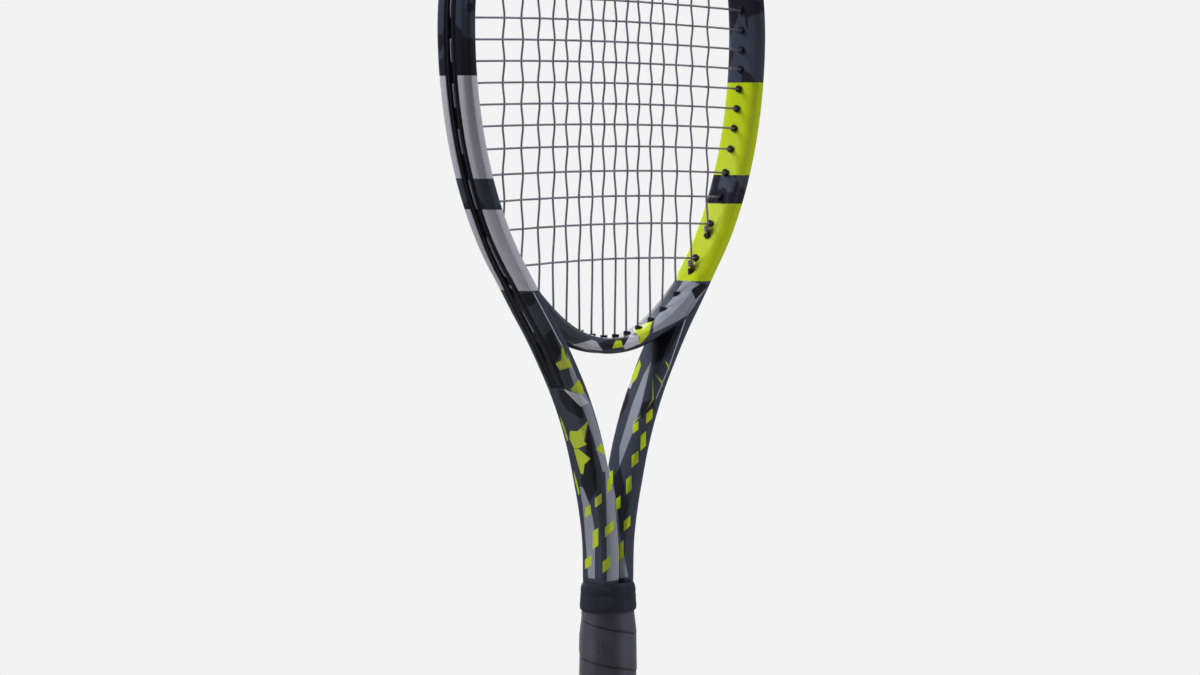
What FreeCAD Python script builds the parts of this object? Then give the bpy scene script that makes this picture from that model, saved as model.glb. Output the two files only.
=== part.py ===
import FreeCAD, Part
import math
import os

from FreeCAD import Vector

# Driving sizes, millimetres. X runs across the head, Y through the face, Z from butt to tip.
RACKET_LENGTH = 685.0        # butt face to the top of the bumper
HEAD_WIDTH = 260.6           # between the hoop centrelines at the widest
BEAM_DEPTH = 26.0            # hoop depth at three and nine o'clock
TIP_DEPTH = 23.0             # hoop depth at the top of the head
NECK_DEPTH = 23.0            # depth of the two shafts above the collar
NECK_HALF = 14.1             # half width of the pair of shafts above the collar
TUBE_WALL = 1.5              # laminate thickness
STRING_DIAMETER = 1.3
GRIP_WIDTH = 35.5            # wrapped handle across the flats, along X
GRIP_DEPTH = 32.5            # wrapped handle across the flats, along Y
TAPE_THICKNESS = 1.9         # replacement grip
GROOVE_DEPTH = 2.5           # string groove on the outside of the hoop
BARREL_PROUD = 1.4           # grommet barrel standing out of the inner wall
BUMPER_PROUD = 2.5           # bumper standing out of the hoop at the tip
DOOR_GAP = 0.35              # all round the butt door
COLLAR_GAP = 1.2             # collar bore over the shafts

# The outline below is drawn for this length and width and is stretched to the driving sizes.
DRAWN_LENGTH = 685.0
DRAWN_WIDTH = 260.6
STRETCH_X = HEAD_WIDTH / DRAWN_WIDTH
STRETCH_Z = RACKET_LENGTH / DRAWN_LENGTH

SHAFT_X = 7.0                # centre of one shaft in the neck
MEET = 0.2                   # how far each shaft runs past the middle plane before trimming
HEAD_CENTRE_Z = 525.0 * STRETCH_Z
HOOP_X = HEAD_WIDTH / 2
HOOP_HALF = 5.2              # half thickness of the hoop in the plane of the strings
HOOP_LOW = 188.4 * STRETCH_Z
HOOP_HIGH = RACKET_LENGTH - BUMPER_PROUD - HOOP_HALF - HEAD_CENTRE_Z
HANDLE_START = 14.0 * STRETCH_Z

# Throat line of one shaft: (x, z) up to where the head ellipse takes over.
THROAT_LINE = [(7.0, 150.0), (7.0, 180.0), (7.0, 205.0), (8.0, 222.0), (11.2, 240.0), (15.2, 256.0),
               (20.3, 274.0), (27.0, 292.0), (35.6, 310.0), (46.2, 328.0), (58.2, 346.0), (71.8, 364.0)]
ELLIPSE_START = 41
ELLIPSE_STEP = 6

# Tube half sizes against height: inner side, outer side, half depth, roundness exponent.
TUBE_TABLE = [(0.0, 7.2, 5.9, 9.75, 3.0),
              (184.0, 7.2, 5.9, 9.75, 3.0),
              (196.0, 7.2, NECK_HALF - SHAFT_X, NECK_DEPTH / 2, 3.0),
              (216.0, 7.2, NECK_HALF - SHAFT_X, NECK_DEPTH / 2, 3.0),
              (262.0, 7.0, 7.0, 11.7, 3.0),
              (330.0, 6.6, 6.6, 12.0, 2.8),
              (380.0, 5.5, 5.5, 12.3, 2.5),
              (440.0, 5.2, 5.2, 12.8, 2.4),
              (525.0, 5.0, 5.0, BEAM_DEPTH / 2, 2.4),
              (620.0, 5.1, 5.1, (BEAM_DEPTH + TIP_DEPTH) / 4, 2.4),
              (700.0, HOOP_HALF, HOOP_HALF, TIP_DEPTH / 2, 2.4)]
# Half width of the outer groove against height.
GROOVE_TABLE = [(300.0, 5.2), (332.0, 6.6), (368.0, 6.0), (410.0, 4.6), (700.0, 4.4)]

FAIRING_START = 317.0 * STRETCH_Z
BUMPER_START = 589.5 * STRETCH_Z
BRIDGE_HALF = 4.9            # half thickness of the bridge
BRIDGE_END = 27.0            # sweep of the bridge each side of the middle, degrees
THROAT_FAN = 0.93            # throat holes lean in towards the middle
HOLE_LEAN = 0.8              # share of the local normal in the direction of a hole
CHANNEL_FLOOR = 0.65         # strip thickness under the string
CHANNEL_HALF = STRING_DIAMETER + 0.35
STRIP_GAP = 0.1

MAIN_X = [5.2, 15.7, 26.3, 37.8, 49.0, 61.8, 75.9, 91.4]
CROSS_Z = [386.7, 407.8, 424.5, 439.7, 454.5, 467.6, 480.0, 492.4, 504.8, 517.1, 529.5, 541.8,
           554.6, 567.8, 581.8, 597.2, 614.5, 632.5, 648.0]
BRIDGE_MAINS = 5             # mains that pass through the bridge, each side
STRAIGHT_MAINS = (5, 6)      # their lower holes run straight on through the shoulder
LAST_MAIN = 7
TIE_MAIN = 6

STRING_R = STRING_DIAMETER / 2
PLANE = STRING_R + 0.01      # mains lie in front of the middle plane, crosses behind
BORE_R = STRING_R + 0.4
BARREL_R = BORE_R + 1.05
TIE_BORE_R = 2 * STRING_R + 0.35
TIE_BARREL_R = TIE_BORE_R + 0.95
HOLE_GAP = 0.05
KNOT_STEP = 0.85 * STRING_DIAMETER     # the turns of a knot press into each other
TIGHT_BEND = 0.9
EASY_BEND = 6.0

PALLET_START = 12.0 * STRETCH_Z
PALLET_END = 177.0 * STRETCH_Z
TAPER_START = 160.0 * STRETCH_Z
TAPER = 3.4
WRAP_START = 3.4
WRAP_END = 183.5 * STRETCH_Z
CAP_HEIGHT = 27.0
CAP_PLATE = 3.0
CAP_SKIRT = 0.9
CAP_FLARE = 2.85
BEVEL_SHARE = 0.2794
COLLAR_LOW = 176.0 * STRETCH_Z
COLLAR_HIGH = 193.4 * STRETCH_Z
COLLAR_WALL = 0.95
BAND_THICKNESS = 0.25
DOOR_WIDTH = 20.0
DOOR_DEPTH = 17.0
FRONT = Vector(0, 1, 0)
SECTION_POINTS = 16


# ---------------------------------------------------------------- small geometry helpers
def table(rows, z, column):
    """Straight-line reading of a height table."""
    height = z / STRETCH_Z
    for low, high in zip(rows, rows[1:]):
        if height <= high[0]:
            share = max(0.0, (height - low[0]) / (high[0] - low[0]))
            return low[column] + share * (high[column] - low[column])
    return rows[-1][column]


def hoop_point(degrees):
    turn = math.radians(degrees)
    rise = HOOP_LOW if degrees < 90 else HOOP_HIGH
    return Vector(HOOP_X * math.sin(turn), 0, HEAD_CENTRE_Z - rise * math.cos(turn))


def centre_line():
    """One shaft from the butt end up the throat and round half the hoop."""
    points = [Vector(SHAFT_X, 0, HANDLE_START), Vector(SHAFT_X, 0, 80.0 * STRETCH_Z)]
    for x, z in THROAT_LINE:
        points.append(Vector(SHAFT_X + (x - SHAFT_X) * STRETCH_X, 0, z * STRETCH_Z))
    angles = list(range(ELLIPSE_START, 90, ELLIPSE_STEP)) + [90] + list(range(96, 180, ELLIPSE_STEP))
    for degrees in angles:
        points.append(hoop_point(degrees))
    points.append(Vector(0, 0, HEAD_CENTRE_Z + HOOP_HIGH))
    curve = Part.BSplineCurve()
    curve.interpolate(Points=points, InitialTangent=Vector(0, 0, 1), FinalTangent=Vector(-1, 0, 0))
    return curve


LINE = centre_line()
TIP_Z = HEAD_CENTRE_Z + HOOP_HIGH


def parameter_at(z):
    low, high = LINE.FirstParameter, LINE.LastParameter
    if z >= TIP_Z:
        return high
    for _ in range(50):
        middle = (low + high) / 2
        if LINE.value(middle).z < z:
            low = middle
        else:
            high = middle
    return (low + high) / 2


def frames(z_from, z_to, count):
    """Points, outward normals and tangents spaced along the shaft line between two heights."""
    first, last = parameter_at(z_from), parameter_at(z_to)
    result = []
    for index in range(count):
        u = first + (last - first) * index / (count - 1)
        point = LINE.value(u)
        along = LINE.tangent(u)[0]
        result.append((point, Vector(along.z, 0, -along.x)))
    return result


def bridge_frames(degrees, count):
    result = []
    for index in range(count):
        turn = math.radians(-degrees + 2 * degrees * index / (count - 1))
        point = Vector(HOOP_X * math.sin(turn), 0, HEAD_CENTRE_Z - HOOP_LOW * math.cos(turn))
        along = Vector(HOOP_X * math.cos(turn), 0, HOOP_LOW * math.sin(turn)).normalize()
        result.append((point, Vector(along.z, 0, -along.x)))
    return result


def oval(frame, inner, outer, depth, power):
    """Rounded section as sixteen corners: inner and outer half widths, half depth, roundness."""
    centre, out = frame
    points = []
    for index in range(SECTION_POINTS):
        turn = 2 * math.pi * (index + 0.5) / SECTION_POINTS
        c, s = math.cos(turn), math.sin(turn)
        reach = (abs(c) ** power + abs(s) ** power) ** (-1 / power)
        wide = outer if c > 0 else inner
        points.append(centre + out * (wide * reach * c) + FRONT * (depth * reach * s))
    return points


def block(frame, low, high, half):
    centre, out = frame
    corners = [(low, -half), (high, -half), (high, half), (low, half)]
    return [centre + out * u + FRONT * v for u, v in corners]


def middle_of(section):
    total = Vector(0, 0, 0)
    for point in section:
        total = total + point
    return total * (1.0 / len(section))


def sweep(sections):
    """Solid whose corner lines are smooth curves through matching corners of every section."""
    steps = [0.0]
    for before, after in zip(sections, sections[1:]):
        steps.append(steps[-1] + (middle_of(after) - middle_of(before)).Length)
    rails = []
    for corner in range(len(sections[0])):
        curve = Part.BSplineCurve()
        curve.interpolate(Points=[section[corner] for section in sections], Parameters=steps)
        rails.append(curve.toShape())
    faces = [Part.makeRuledSurface(a, b) for a, b in zip(rails, rails[1:] + rails[:1])]
    for section in (sections[0], sections[-1]):
        faces.append(Part.Face(Part.makePolygon(section + section[:1])))
    shell = Part.makeShell(faces)
    shell.sewShape()
    solid = Part.Solid(shell)
    if solid.Volume < 0:
        solid.reverse()
    return solid


def mirrored(shape):
    return shape.mirror(Vector(0, 0, 0), Vector(1, 0, 0))


def both_sides(shape):
    return shape.fuse(mirrored(shape)).removeSplitter()


def largest(shape):
    """The one body that matters, without the crumbs a cut leaves behind."""
    return max(shape.Solids, key=lambda solid: solid.Volume)


def rod(start, end, radius):
    axis = end - start
    return Part.makeCylinder(radius, axis.Length, start, axis)


# ---------------------------------------------------------------- hoop surfaces as point rails
def tube_at(point, column):
    return table(TUBE_TABLE, point.z, column)


RAIL_FRAMES = frames(FAIRING_START - 20, TIP_Z, 400)


def rail(kind):
    """Points along the inner wall, the groove floor or the line of the string in the groove."""
    lift = {"wall": 0.0, "floor": 0.2, "string": CHANNEL_FLOOR + STRING_R + 0.05}[kind]
    points = []
    for centre, out in RAIL_FRAMES:
        if kind == "wall":
            points.append(centre - out * tube_at(centre, 1))
        else:
            points.append(centre + out * (tube_at(centre, 2) - GROOVE_DEPTH + lift))
    return points


RAILS = {kind: rail(kind) for kind in ("wall", "floor", "string")}


def wall_at_height(z):
    for low, high in zip(RAILS["wall"], RAILS["wall"][1:]):
        if low.z <= z <= high.z:
            share = (z - low.z) / (high.z - low.z)
            return low + (high - low) * share
    raise ValueError("no wall at height %.1f" % z)


def wall_at_width(x):
    """Inner wall of the upper half of the hoop above a given width."""
    for low, high in zip(RAILS["wall"], RAILS["wall"][1:]):
        if low.z > HEAD_CENTRE_Z and high.x <= x <= low.x:
            share = (x - low.x) / (high.x - low.x)
            return low + (high - low) * share
    raise ValueError("no wall at width %.1f" % x)


def normal_near(point):
    nearest = min(RAIL_FRAMES, key=lambda frame: (frame[0] - point).Length)
    return nearest[1]


def leave(start, axis, kind):
    """Where a straight line through the hoop reaches an outer rail."""
    for low, high in zip(RAILS[kind], RAILS[kind][1:]):
        step = high - low
        cross = axis.x * step.z - axis.z * step.x
        if abs(cross) < 1e-9:
            continue
        gap = low - start
        reach = (gap.x * step.z - gap.z * step.x) / cross
        share = (gap.x * axis.z - gap.z * axis.x) / cross
        if reach > 3 and 0 <= share <= 1:
            return start + axis * reach
    raise ValueError("line at %.1f, %.1f misses the hoop" % (start.x, start.z))


def bridge_height(x, offset):
    """Height of a line parallel to the bridge centre line, offset towards the butt."""
    wide, tall = HOOP_X + offset, HOOP_LOW + offset
    return HEAD_CENTRE_Z - tall * math.sqrt(1 - (x / wide) ** 2)


# ---------------------------------------------------------------- holes and grommet barrels
def hole_axis(wall, heading, lean):
    return (normal_near(wall) * lean + heading * (1 - lean)).normalize()


def main_hole(index, top):
    """Inner wall point and outward direction of one hole of a main, on the right half."""
    x = MAIN_X[index] * STRETCH_X
    if top:
        wall = wall_at_width(x)
        return wall, hole_axis(wall, Vector(0, 0, 1), HOLE_LEAN)
    wall = Vector(x, 0, bridge_height(x, -BRIDGE_HALF))
    if index < BRIDGE_MAINS:
        low = x * THROAT_FAN
        return wall, (Vector(low, 0, bridge_height(low, BRIDGE_HALF)) - wall).normalize()
    return wall, hole_axis(wall, Vector(0, 0, -1), 0.0 if index in STRAIGHT_MAINS else HOLE_LEAN)


def cross_hole(index):
    wall = wall_at_height(CROSS_Z[index] * STRETCH_Z)
    return wall, hole_axis(wall, Vector(1, 0, 0), HOLE_LEAN)


def main_exit(index, top, kind):
    """Where the hole of a main opens on the groove floor, or where its string turns."""
    wall, axis = main_hole(index, top)
    if top or index >= BRIDGE_MAINS:
        return leave(wall, axis, kind)
    lift = {"floor": 0.2, "string": CHANNEL_FLOOR + STRING_R + 0.05}[kind]
    low = wall.x * THROAT_FAN
    return Vector(low, 0, bridge_height(low, BRIDGE_HALF - GROOVE_DEPTH + lift))


def hole_lines():
    """Every string hole on the right half: group, start inside the hoop, end on the groove floor."""
    lines = []
    for index in range(len(MAIN_X)):
        for top in (True, False):
            tie = index == TIE_MAIN or (index == LAST_MAIN and not top)
            wall, axis = main_hole(index, top)
            end = main_exit(index, top, "floor")
            shift = Vector(0, 0 if tie else -PLANE, 0)
            if index == TIE_MAIN and not top:
                shift = Vector(PLANE, -PLANE, 0)
                end = leave(wall + Vector(PLANE, 0, 0), axis, "floor") - Vector(PLANE, 0, 0)
            group = "bumper" if top else ("bridge" if index < BRIDGE_MAINS else "side")
            lines.append((group, wall + shift, end + shift, tie))
    for index in range(len(CROSS_Z)):
        wall, axis = cross_hole(index)
        shift = Vector(0, PLANE, 0)
        group = "bumper" if wall.z > BUMPER_START else "side"
        lines.append((group, wall + shift, leave(wall, axis, "floor") + shift, False))
    return lines


HOLES = hole_lines()


def barrels(group, extra):
    """Barrel rods of one group, grown by a clearance when they are used as drills."""
    rods = []
    for name, start, end, tie in HOLES:
        if name != group:
            continue
        along = (end - start).normalize()
        radius = TIE_BARREL_R if tie else BARREL_R
        reach = 4.0 if extra else BARREL_PROUD
        rods.append(rod(start - along * reach, end + along * (1.0 if extra else 0.0), radius + extra))
    return rods


def bores(group):
    rods = []
    for name, start, end, tie in HOLES:
        if name != group:
            continue
        along = (end - start).normalize()
        rods.append(rod(start - along * 5, end + along * 5, TIE_BORE_R if tie else BORE_R))
    return rods


# ---------------------------------------------------------------- strings
def rounded_route(points):
    edges = []
    start = points[0]
    for before, corner, after in zip(points, points[1:], points[2:]):
        coming = (corner - before).normalize()
        going = (after - corner).normalize()
        turn = coming.getAngle(going)
        if turn < 0.02:
            continue
        radius = TIGHT_BEND if turn > 0.6 else EASY_BEND
        setback = radius * math.tan(turn / 2)
        first = corner - coming * setback
        last = corner + going * setback
        inward = (going - coming).normalize()
        middle = corner + inward * (radius / math.cos(turn / 2) - radius)
        edges.append(Part.LineSegment(start, first).toShape())
        edges.append(Part.Arc(first, middle, last).toShape())
        start = last
    edges.append(Part.LineSegment(start, points[-1]).toShape())
    return Part.Wire(edges)


def cord(points, radius):
    route = rounded_route(points)
    heading = points[1] - points[0]
    profile = Part.Wire([Part.makeCircle(radius, points[0], heading)])
    return route.makePipeShell([profile], True, False)


def knot(x, y, z, step):
    """Two tight turns round a standing main."""
    rings = []
    for index in range(2):
        centre = Vector(x, y, z + step * KNOT_STEP * index)
        rings.append(Part.makeTorus(STRING_DIAMETER + 0.05, STRING_R, centre, Vector(0, 0, 1)))
    return rings


def placed(point, y):
    return Vector(point.x, y, point.z)


def main_route():
    """Right half of the mains, from the centre loop under the bridge out to the tie-off."""
    y = -PLANE
    route = []
    for index in range(len(MAIN_X)):
        foot = [main_exit(index, False, "string"), main_hole(index, False)[0]]
        top = [main_hole(index, True)[0], main_exit(index, True, "string")]
        run = foot + top
        route += [placed(p, y) for p in (run if index % 2 == 0 else run[::-1])]
    wall, axis = main_hole(TIE_MAIN, False)
    tie = wall + Vector(STRING_DIAMETER + 0.05, 0, 0)
    route += [placed(leave(tie, axis, "string"), y), placed(tie - axis * 6.0, y)]
    return route


def cross_route():
    """All crosses from the tie-off at the upper left to the tie-off at the lower right."""
    y = PLANE
    wall = main_hole(TIE_MAIN, True)[0]
    turn = main_exit(TIE_MAIN, True, "string")
    route = [Vector(-wall.x, y, wall.z - 6.0), Vector(-wall.x, y, wall.z), Vector(-turn.x, y, turn.z)]
    side = -1
    for index in range(len(CROSS_Z) - 1, -1, -1):
        wall, axis = cross_hole(index)
        out = leave(wall, axis, "string")
        run = [Vector(-out.x, y, out.z), Vector(-wall.x, y, wall.z),
               Vector(wall.x, y, wall.z), Vector(out.x, y, out.z)]
        route += run if side < 0 else run[::-1]
        side = -side
    wall = main_hole(LAST_MAIN, False)[0]
    turn = main_exit(LAST_MAIN, False, "string")
    route += [placed(turn, y), placed(wall, y), placed(wall + Vector(0, 0, 6.0), y)]
    return route


def make_strings():
    right = main_route()
    left = [Vector(-p.x, p.y, p.z) for p in right]
    mains = left[::-1] + right
    crosses = cross_route()
    tie = main_hole(TIE_MAIN, False)[0]
    last = main_hole(LAST_MAIN, False)[0]
    head = main_hole(TIE_MAIN, True)[0]
    turns = knot(tie.x, -PLANE, tie.z + 3.6, 1) + knot(-tie.x, -PLANE, tie.z + 3.6, 1)
    main_string = cord(mains, STRING_R).fuse(turns)
    turns = knot(last.x, -PLANE, last.z + 3.6, 1) + knot(-head.x, -PLANE, head.z - 3.6, -1)
    cross_string = cord(crosses, STRING_R).fuse(turns)
    fat = [cord(mains, STRING_R + 0.08), cord(crosses, STRING_R + 0.08)]
    return main_string, cross_string, fat


# ---------------------------------------------------------------- frame, bridge, strips, bumper
def tube_sections(kind):
    sections = []
    for frame in frames(HANDLE_START, TIP_Z, 64):
        z = frame[0].z
        inner, outer = tube_at(frame[0], 1), tube_at(frame[0], 2)
        depth, power = tube_at(frame[0], 3), tube_at(frame[0], 4)
        if kind == "core":
            grooved = min(1.0, max(0.0, (z / STRETCH_Z - 290.0) / 20.0))
            inner -= TUBE_WALL + (MEET if z < 216.0 * STRETCH_Z else 0.0)
            outer -= TUBE_WALL + GROOVE_DEPTH * grooved
            depth -= TUBE_WALL
        sections.append(oval(frame, inner, outer, depth, power))
    return sections


def groove_sweep(z_from, z_to, count, low, high, narrower):
    sections = []
    for frame in frames(z_from, z_to, count):
        outer = tube_at(frame[0], 2)
        half = table(GROOVE_TABLE, frame[0].z, 1) - narrower
        sections.append(block(frame, outer + low, outer + high, half))
    return sweep(sections)


def channel_sweep(z_from, z_to, count):
    sections = []
    for frame in frames(z_from, z_to, count):
        outer = tube_at(frame[0], 2)
        sections.append(block(frame, outer - GROOVE_DEPTH + CHANNEL_FLOOR, outer + 6, CHANNEL_HALF))
    return sweep(sections)


def make_half_body():
    """Solid right half of the frame with its outer groove, not yet hollow."""
    solid = sweep(tube_sections("skin"))
    beyond = Part.makeBox(40, 80, RACKET_LENGTH, Vector(-40, -40, 0))
    groove = groove_sweep(FAIRING_START, TIP_Z, 40, -GROOVE_DEPTH, 8.0, 0.0)
    return solid.cut([beyond, groove])


def bumper_section(frame):
    centre, out = frame
    outer = tube_at(centre, 2)
    corners = [(outer - 4, -9.0), (outer + 1.0, -8.2), (outer + BUMPER_PROUD, -4.6),
               (outer + BUMPER_PROUD, 4.6), (outer + 1.0, 8.2), (outer - 4, 9.0)]
    return [centre + out * u + FRONT * v for u, v in corners]


def make_bumper(half_body, fat):
    cover = sweep([bumper_section(frame) for frame in frames(BUMPER_START, TIP_Z, 16)])
    cover = cover.cut(half_body)
    cover = cover.cut(channel_sweep(BUMPER_START - 2, TIP_Z, 17))
    half = cover.fuse(barrels("bumper", 0.0))
    whole = both_sides(half)
    drills = bores("bumper")
    return largest(whole.cut(drills + [mirrored(d) for d in drills] + fat))


def make_side_strip(fat):
    """Right-hand strip: groove filling with a string channel and its row of barrels."""
    filling = groove_sweep(FAIRING_START + STRIP_GAP, BUMPER_START - 0.3, 26, -GROOVE_DEPTH, -0.1, STRIP_GAP)
    filling = filling.cut(channel_sweep(FAIRING_START + 16.0, BUMPER_START + 2, 26))
    strip = filling.fuse(barrels("side", 0.0))
    return largest(strip.cut(bores("side") + fat))


def bridge_sections(inner, outer, depth_middle, depth_end, degrees, count):
    sections = []
    for index, frame in enumerate(bridge_frames(degrees, count)):
        share = abs(2 * index / (count - 1) - 1) ** 2
        depth = depth_middle + (depth_end - depth_middle) * share
        sections.append(oval(frame, inner, outer, depth, 3.0))
    return sections


def make_bridge(body, drills):
    solid = sweep(bridge_sections(BRIDGE_HALF, BRIDGE_HALF, 9.8, 11.6, BRIDGE_END, 15))
    groove = sweep([block(f, BRIDGE_HALF - GROOVE_DEPTH, BRIDGE_HALF + 8, 4.2)
                    for f in bridge_frames(22.0, 11)])
    shell = solid.cut(body + [groove])
    core = sweep(bridge_sections(BRIDGE_HALF - TUBE_WALL, BRIDGE_HALF - GROOVE_DEPTH - TUBE_WALL,
                                 8.2, 8.6, 15.0, 9))
    return shell.cut([core] + drills), core.cut(drills)


def make_throat_strip(body, fat):
    low, high = BRIDGE_HALF - GROOVE_DEPTH, BRIDGE_HALF - 0.1
    filling = sweep([block(f, low, high, 4.1) for f in bridge_frames(21.2, 11)])
    channel = sweep([block(f, low + CHANNEL_FLOOR, high + 6, CHANNEL_HALF)
                     for f in bridge_frames(23.0, 11)])
    strip = filling.cut([channel] + body)
    rods = barrels("bridge", 0.0)
    drills = bores("bridge")
    strip = strip.fuse(rods + [mirrored(r) for r in rods])
    return strip.cut(drills + [mirrored(d) for d in drills] + fat)


# ---------------------------------------------------------------- handle
def octagon_wire(z, wide, deep, rounding):
    """Eight flats joined by small arcs, at one height."""
    leg = BEVEL_SHARE * (wide + deep) / 2
    x, y = wide / 2, deep / 2
    corners = [(x, y - leg), (x - leg, y), (leg - x, y), (-x, y - leg),
               (-x, leg - y), (leg - x, -y), (x - leg, -y), (x, leg - y)]
    points = [Vector(cx, cy, z) for cx, cy in corners]
    edges = []
    starts = []
    for index, corner in enumerate(points):
        coming = (corner - points[index - 1]).normalize()
        going = (points[(index + 1) % 8] - corner).normalize()
        turn = coming.getAngle(going)
        setback = rounding * math.tan(turn / 2)
        inward = (going - coming).normalize()
        first, last = corner - coming * setback, corner + going * setback
        middle = corner + inward * (rounding / math.cos(turn / 2) - rounding)
        starts.append((first, middle, last))
    for index, (first, middle, last) in enumerate(starts):
        edges.append(Part.Arc(first, middle, last).toShape())
        following = starts[(index + 1) % 8][0]
        edges.append(Part.LineSegment(last, following).toShape())
    return Part.Wire(edges)


def octagon_stack(levels, rounding):
    return Part.makeLoft([octagon_wire(z, wide, deep, rounding) for z, wide, deep in levels], True, True)


def make_handle(body, core):
    pallet_x, pallet_y = GRIP_WIDTH - 2 * TAPE_THICKNESS, GRIP_DEPTH - 2 * TAPE_THICKNESS
    pallet_solid = octagon_stack([(PALLET_START, pallet_x, pallet_y), (TAPER_START, pallet_x, pallet_y),
                                  (PALLET_END, pallet_x - TAPER, pallet_y - TAPER)], 1.2)
    pallet = pallet_solid.cut(body)

    skirt_x, skirt_y = pallet_x + 2 * CAP_SKIRT, pallet_y + 2 * CAP_SKIRT
    foot_x, foot_y = pallet_x + 2 * CAP_FLARE, pallet_y + 2 * CAP_FLARE
    rim_x, rim_y = foot_x + 2 * TAPE_THICKNESS, foot_y + 2 * TAPE_THICKNESS
    flare = octagon_stack([(1.0, foot_x, foot_y), (10.0, foot_x - 0.6, foot_y - 0.6),
                           (CAP_HEIGHT, skirt_x, skirt_y)], 1.4)
    rim = octagon_stack([(0.0, rim_x - 1.4, rim_y - 1.4), (0.8, rim_x, rim_y),
                         (CAP_PLATE, rim_x, rim_y)], 2.4)
    socket = octagon_stack([(CAP_PLATE, pallet_x, pallet_y), (CAP_HEIGHT + 1, pallet_x, pallet_y)], 1.2)
    opening = Part.makeBox(DOOR_WIDTH + 2 * DOOR_GAP, DOOR_DEPTH + 2 * DOOR_GAP, CAP_PLATE + 2,
                           Vector(-DOOR_WIDTH / 2 - DOOR_GAP, -DOOR_DEPTH / 2 - DOOR_GAP, -1))
    cap_solid = flare.fuse(rim)
    cap = cap_solid.cut([socket, opening])

    staples = []
    for side in (-1, 1):
        face = side * (skirt_x / 2 - 0.1)
        crown = Part.makeBox(1.1, 10.0, 1.1, Vector(face - 0.55 - side * 0.55, -5.0, 20.0))
        legs = [Part.makeBox(4.0, 1.1, 1.1, Vector(face - 2.0 - side * 2.0, y, 20.0))
                for y in (-5.0, 3.9)]
        staples.append(crown.fuse(legs).removeSplitter())
    cap = cap.cut(staples)
    pallet = pallet.cut(staples)

    wrap_solid = octagon_stack([(WRAP_START, rim_x, rim_y), (10.0, rim_x - 0.6, rim_y - 0.6),
                                (CAP_HEIGHT, skirt_x + 2 * TAPE_THICKNESS, skirt_y + 2 * TAPE_THICKNESS),
                                (CAP_HEIGHT + 16, GRIP_WIDTH, GRIP_DEPTH),
                                (TAPER_START, GRIP_WIDTH, GRIP_DEPTH),
                                (PALLET_END, GRIP_WIDTH - TAPER, GRIP_DEPTH - TAPER),
                                (WRAP_END, GRIP_WIDTH - TAPER - 0.6, GRIP_DEPTH - TAPER - 0.6)], 2.6)
    hollow = octagon_stack([(PALLET_END - 1, pallet_x - TAPER, pallet_y - TAPER),
                            (WRAP_END + 1, pallet_x - TAPER, pallet_y - TAPER)], 1.2)
    wrap = wrap_solid.cut([pallet_solid, cap_solid, hollow] + body)

    door = Part.makeBox(DOOR_WIDTH, DOOR_DEPTH, 2.4, Vector(-DOOR_WIDTH / 2, -DOOR_DEPTH / 2, 0.3))
    corners = [edge for edge in door.Edges if abs(edge.Vertexes[0].Z - edge.Vertexes[-1].Z) > 1]
    door = door.makeFillet(2.0, corners)
    pull = Part.makeCylinder(2.6, 1.2, Vector(0, -DOOR_DEPTH / 2 + 0.6, 0.3 - 0.1))
    legs = [Part.makeBox(1.2, 8.0, 7.0, Vector(side * (DOOR_WIDTH / 2 - 1.4) - 0.6, -4.0, 1.5))
            for side in (-1, 1)]
    door = door.fuse(legs).cut(pull)

    plugs = []
    for half in core:
        slab = Part.makeBox(60, 60, 22, Vector(-30, -30, HANDLE_START))
        plugs.append(half.common(slab))
    return pallet, cap, door, staples, wrap, plugs


def band_octagon(z, grow):
    share = min(1.0, max(0.0, (z - PALLET_END) / (WRAP_END - PALLET_END)))
    less = TAPER * min(1.0, (z - TAPER_START) / (PALLET_END - TAPER_START)) + 0.6 * share
    return z, GRIP_WIDTH - less + 2 * grow, GRIP_DEPTH - less + 2 * grow


def make_collar_parts():
    low, high = PALLET_END + 1.0, WRAP_END - 0.6
    band = octagon_stack([band_octagon(low, BAND_THICKNESS), band_octagon(high, BAND_THICKNESS)], 2.8)
    band = band.cut(octagon_stack([band_octagon(low - 0.5, 0.0), band_octagon(high + 0.5, 0.0)], 2.6))

    inside = BAND_THICKNESS + 0.3
    shoulder = WRAP_END + 0.6
    outside = inside + COLLAR_WALL
    collar = octagon_stack([band_octagon(COLLAR_LOW, outside), band_octagon(shoulder, outside),
                            band_octagon(COLLAR_HIGH - 1.2, outside - 0.2),
                            band_octagon(COLLAR_HIGH, outside - 0.9)], 4.6)
    pocket = octagon_stack([band_octagon(COLLAR_LOW - 0.5, inside), band_octagon(shoulder, inside)], 3.0)
    wide, deep = NECK_HALF + COLLAR_GAP, NECK_DEPTH / 2 + COLLAR_GAP
    levels = [COLLAR_LOW, COLLAR_HIGH + 2]
    neck = sweep([oval((Vector(0, 0, z), Vector(1, 0, 0)), wide, wide, deep, 4.0) for z in levels])
    return band, collar.cut([pocket, neck])


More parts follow.
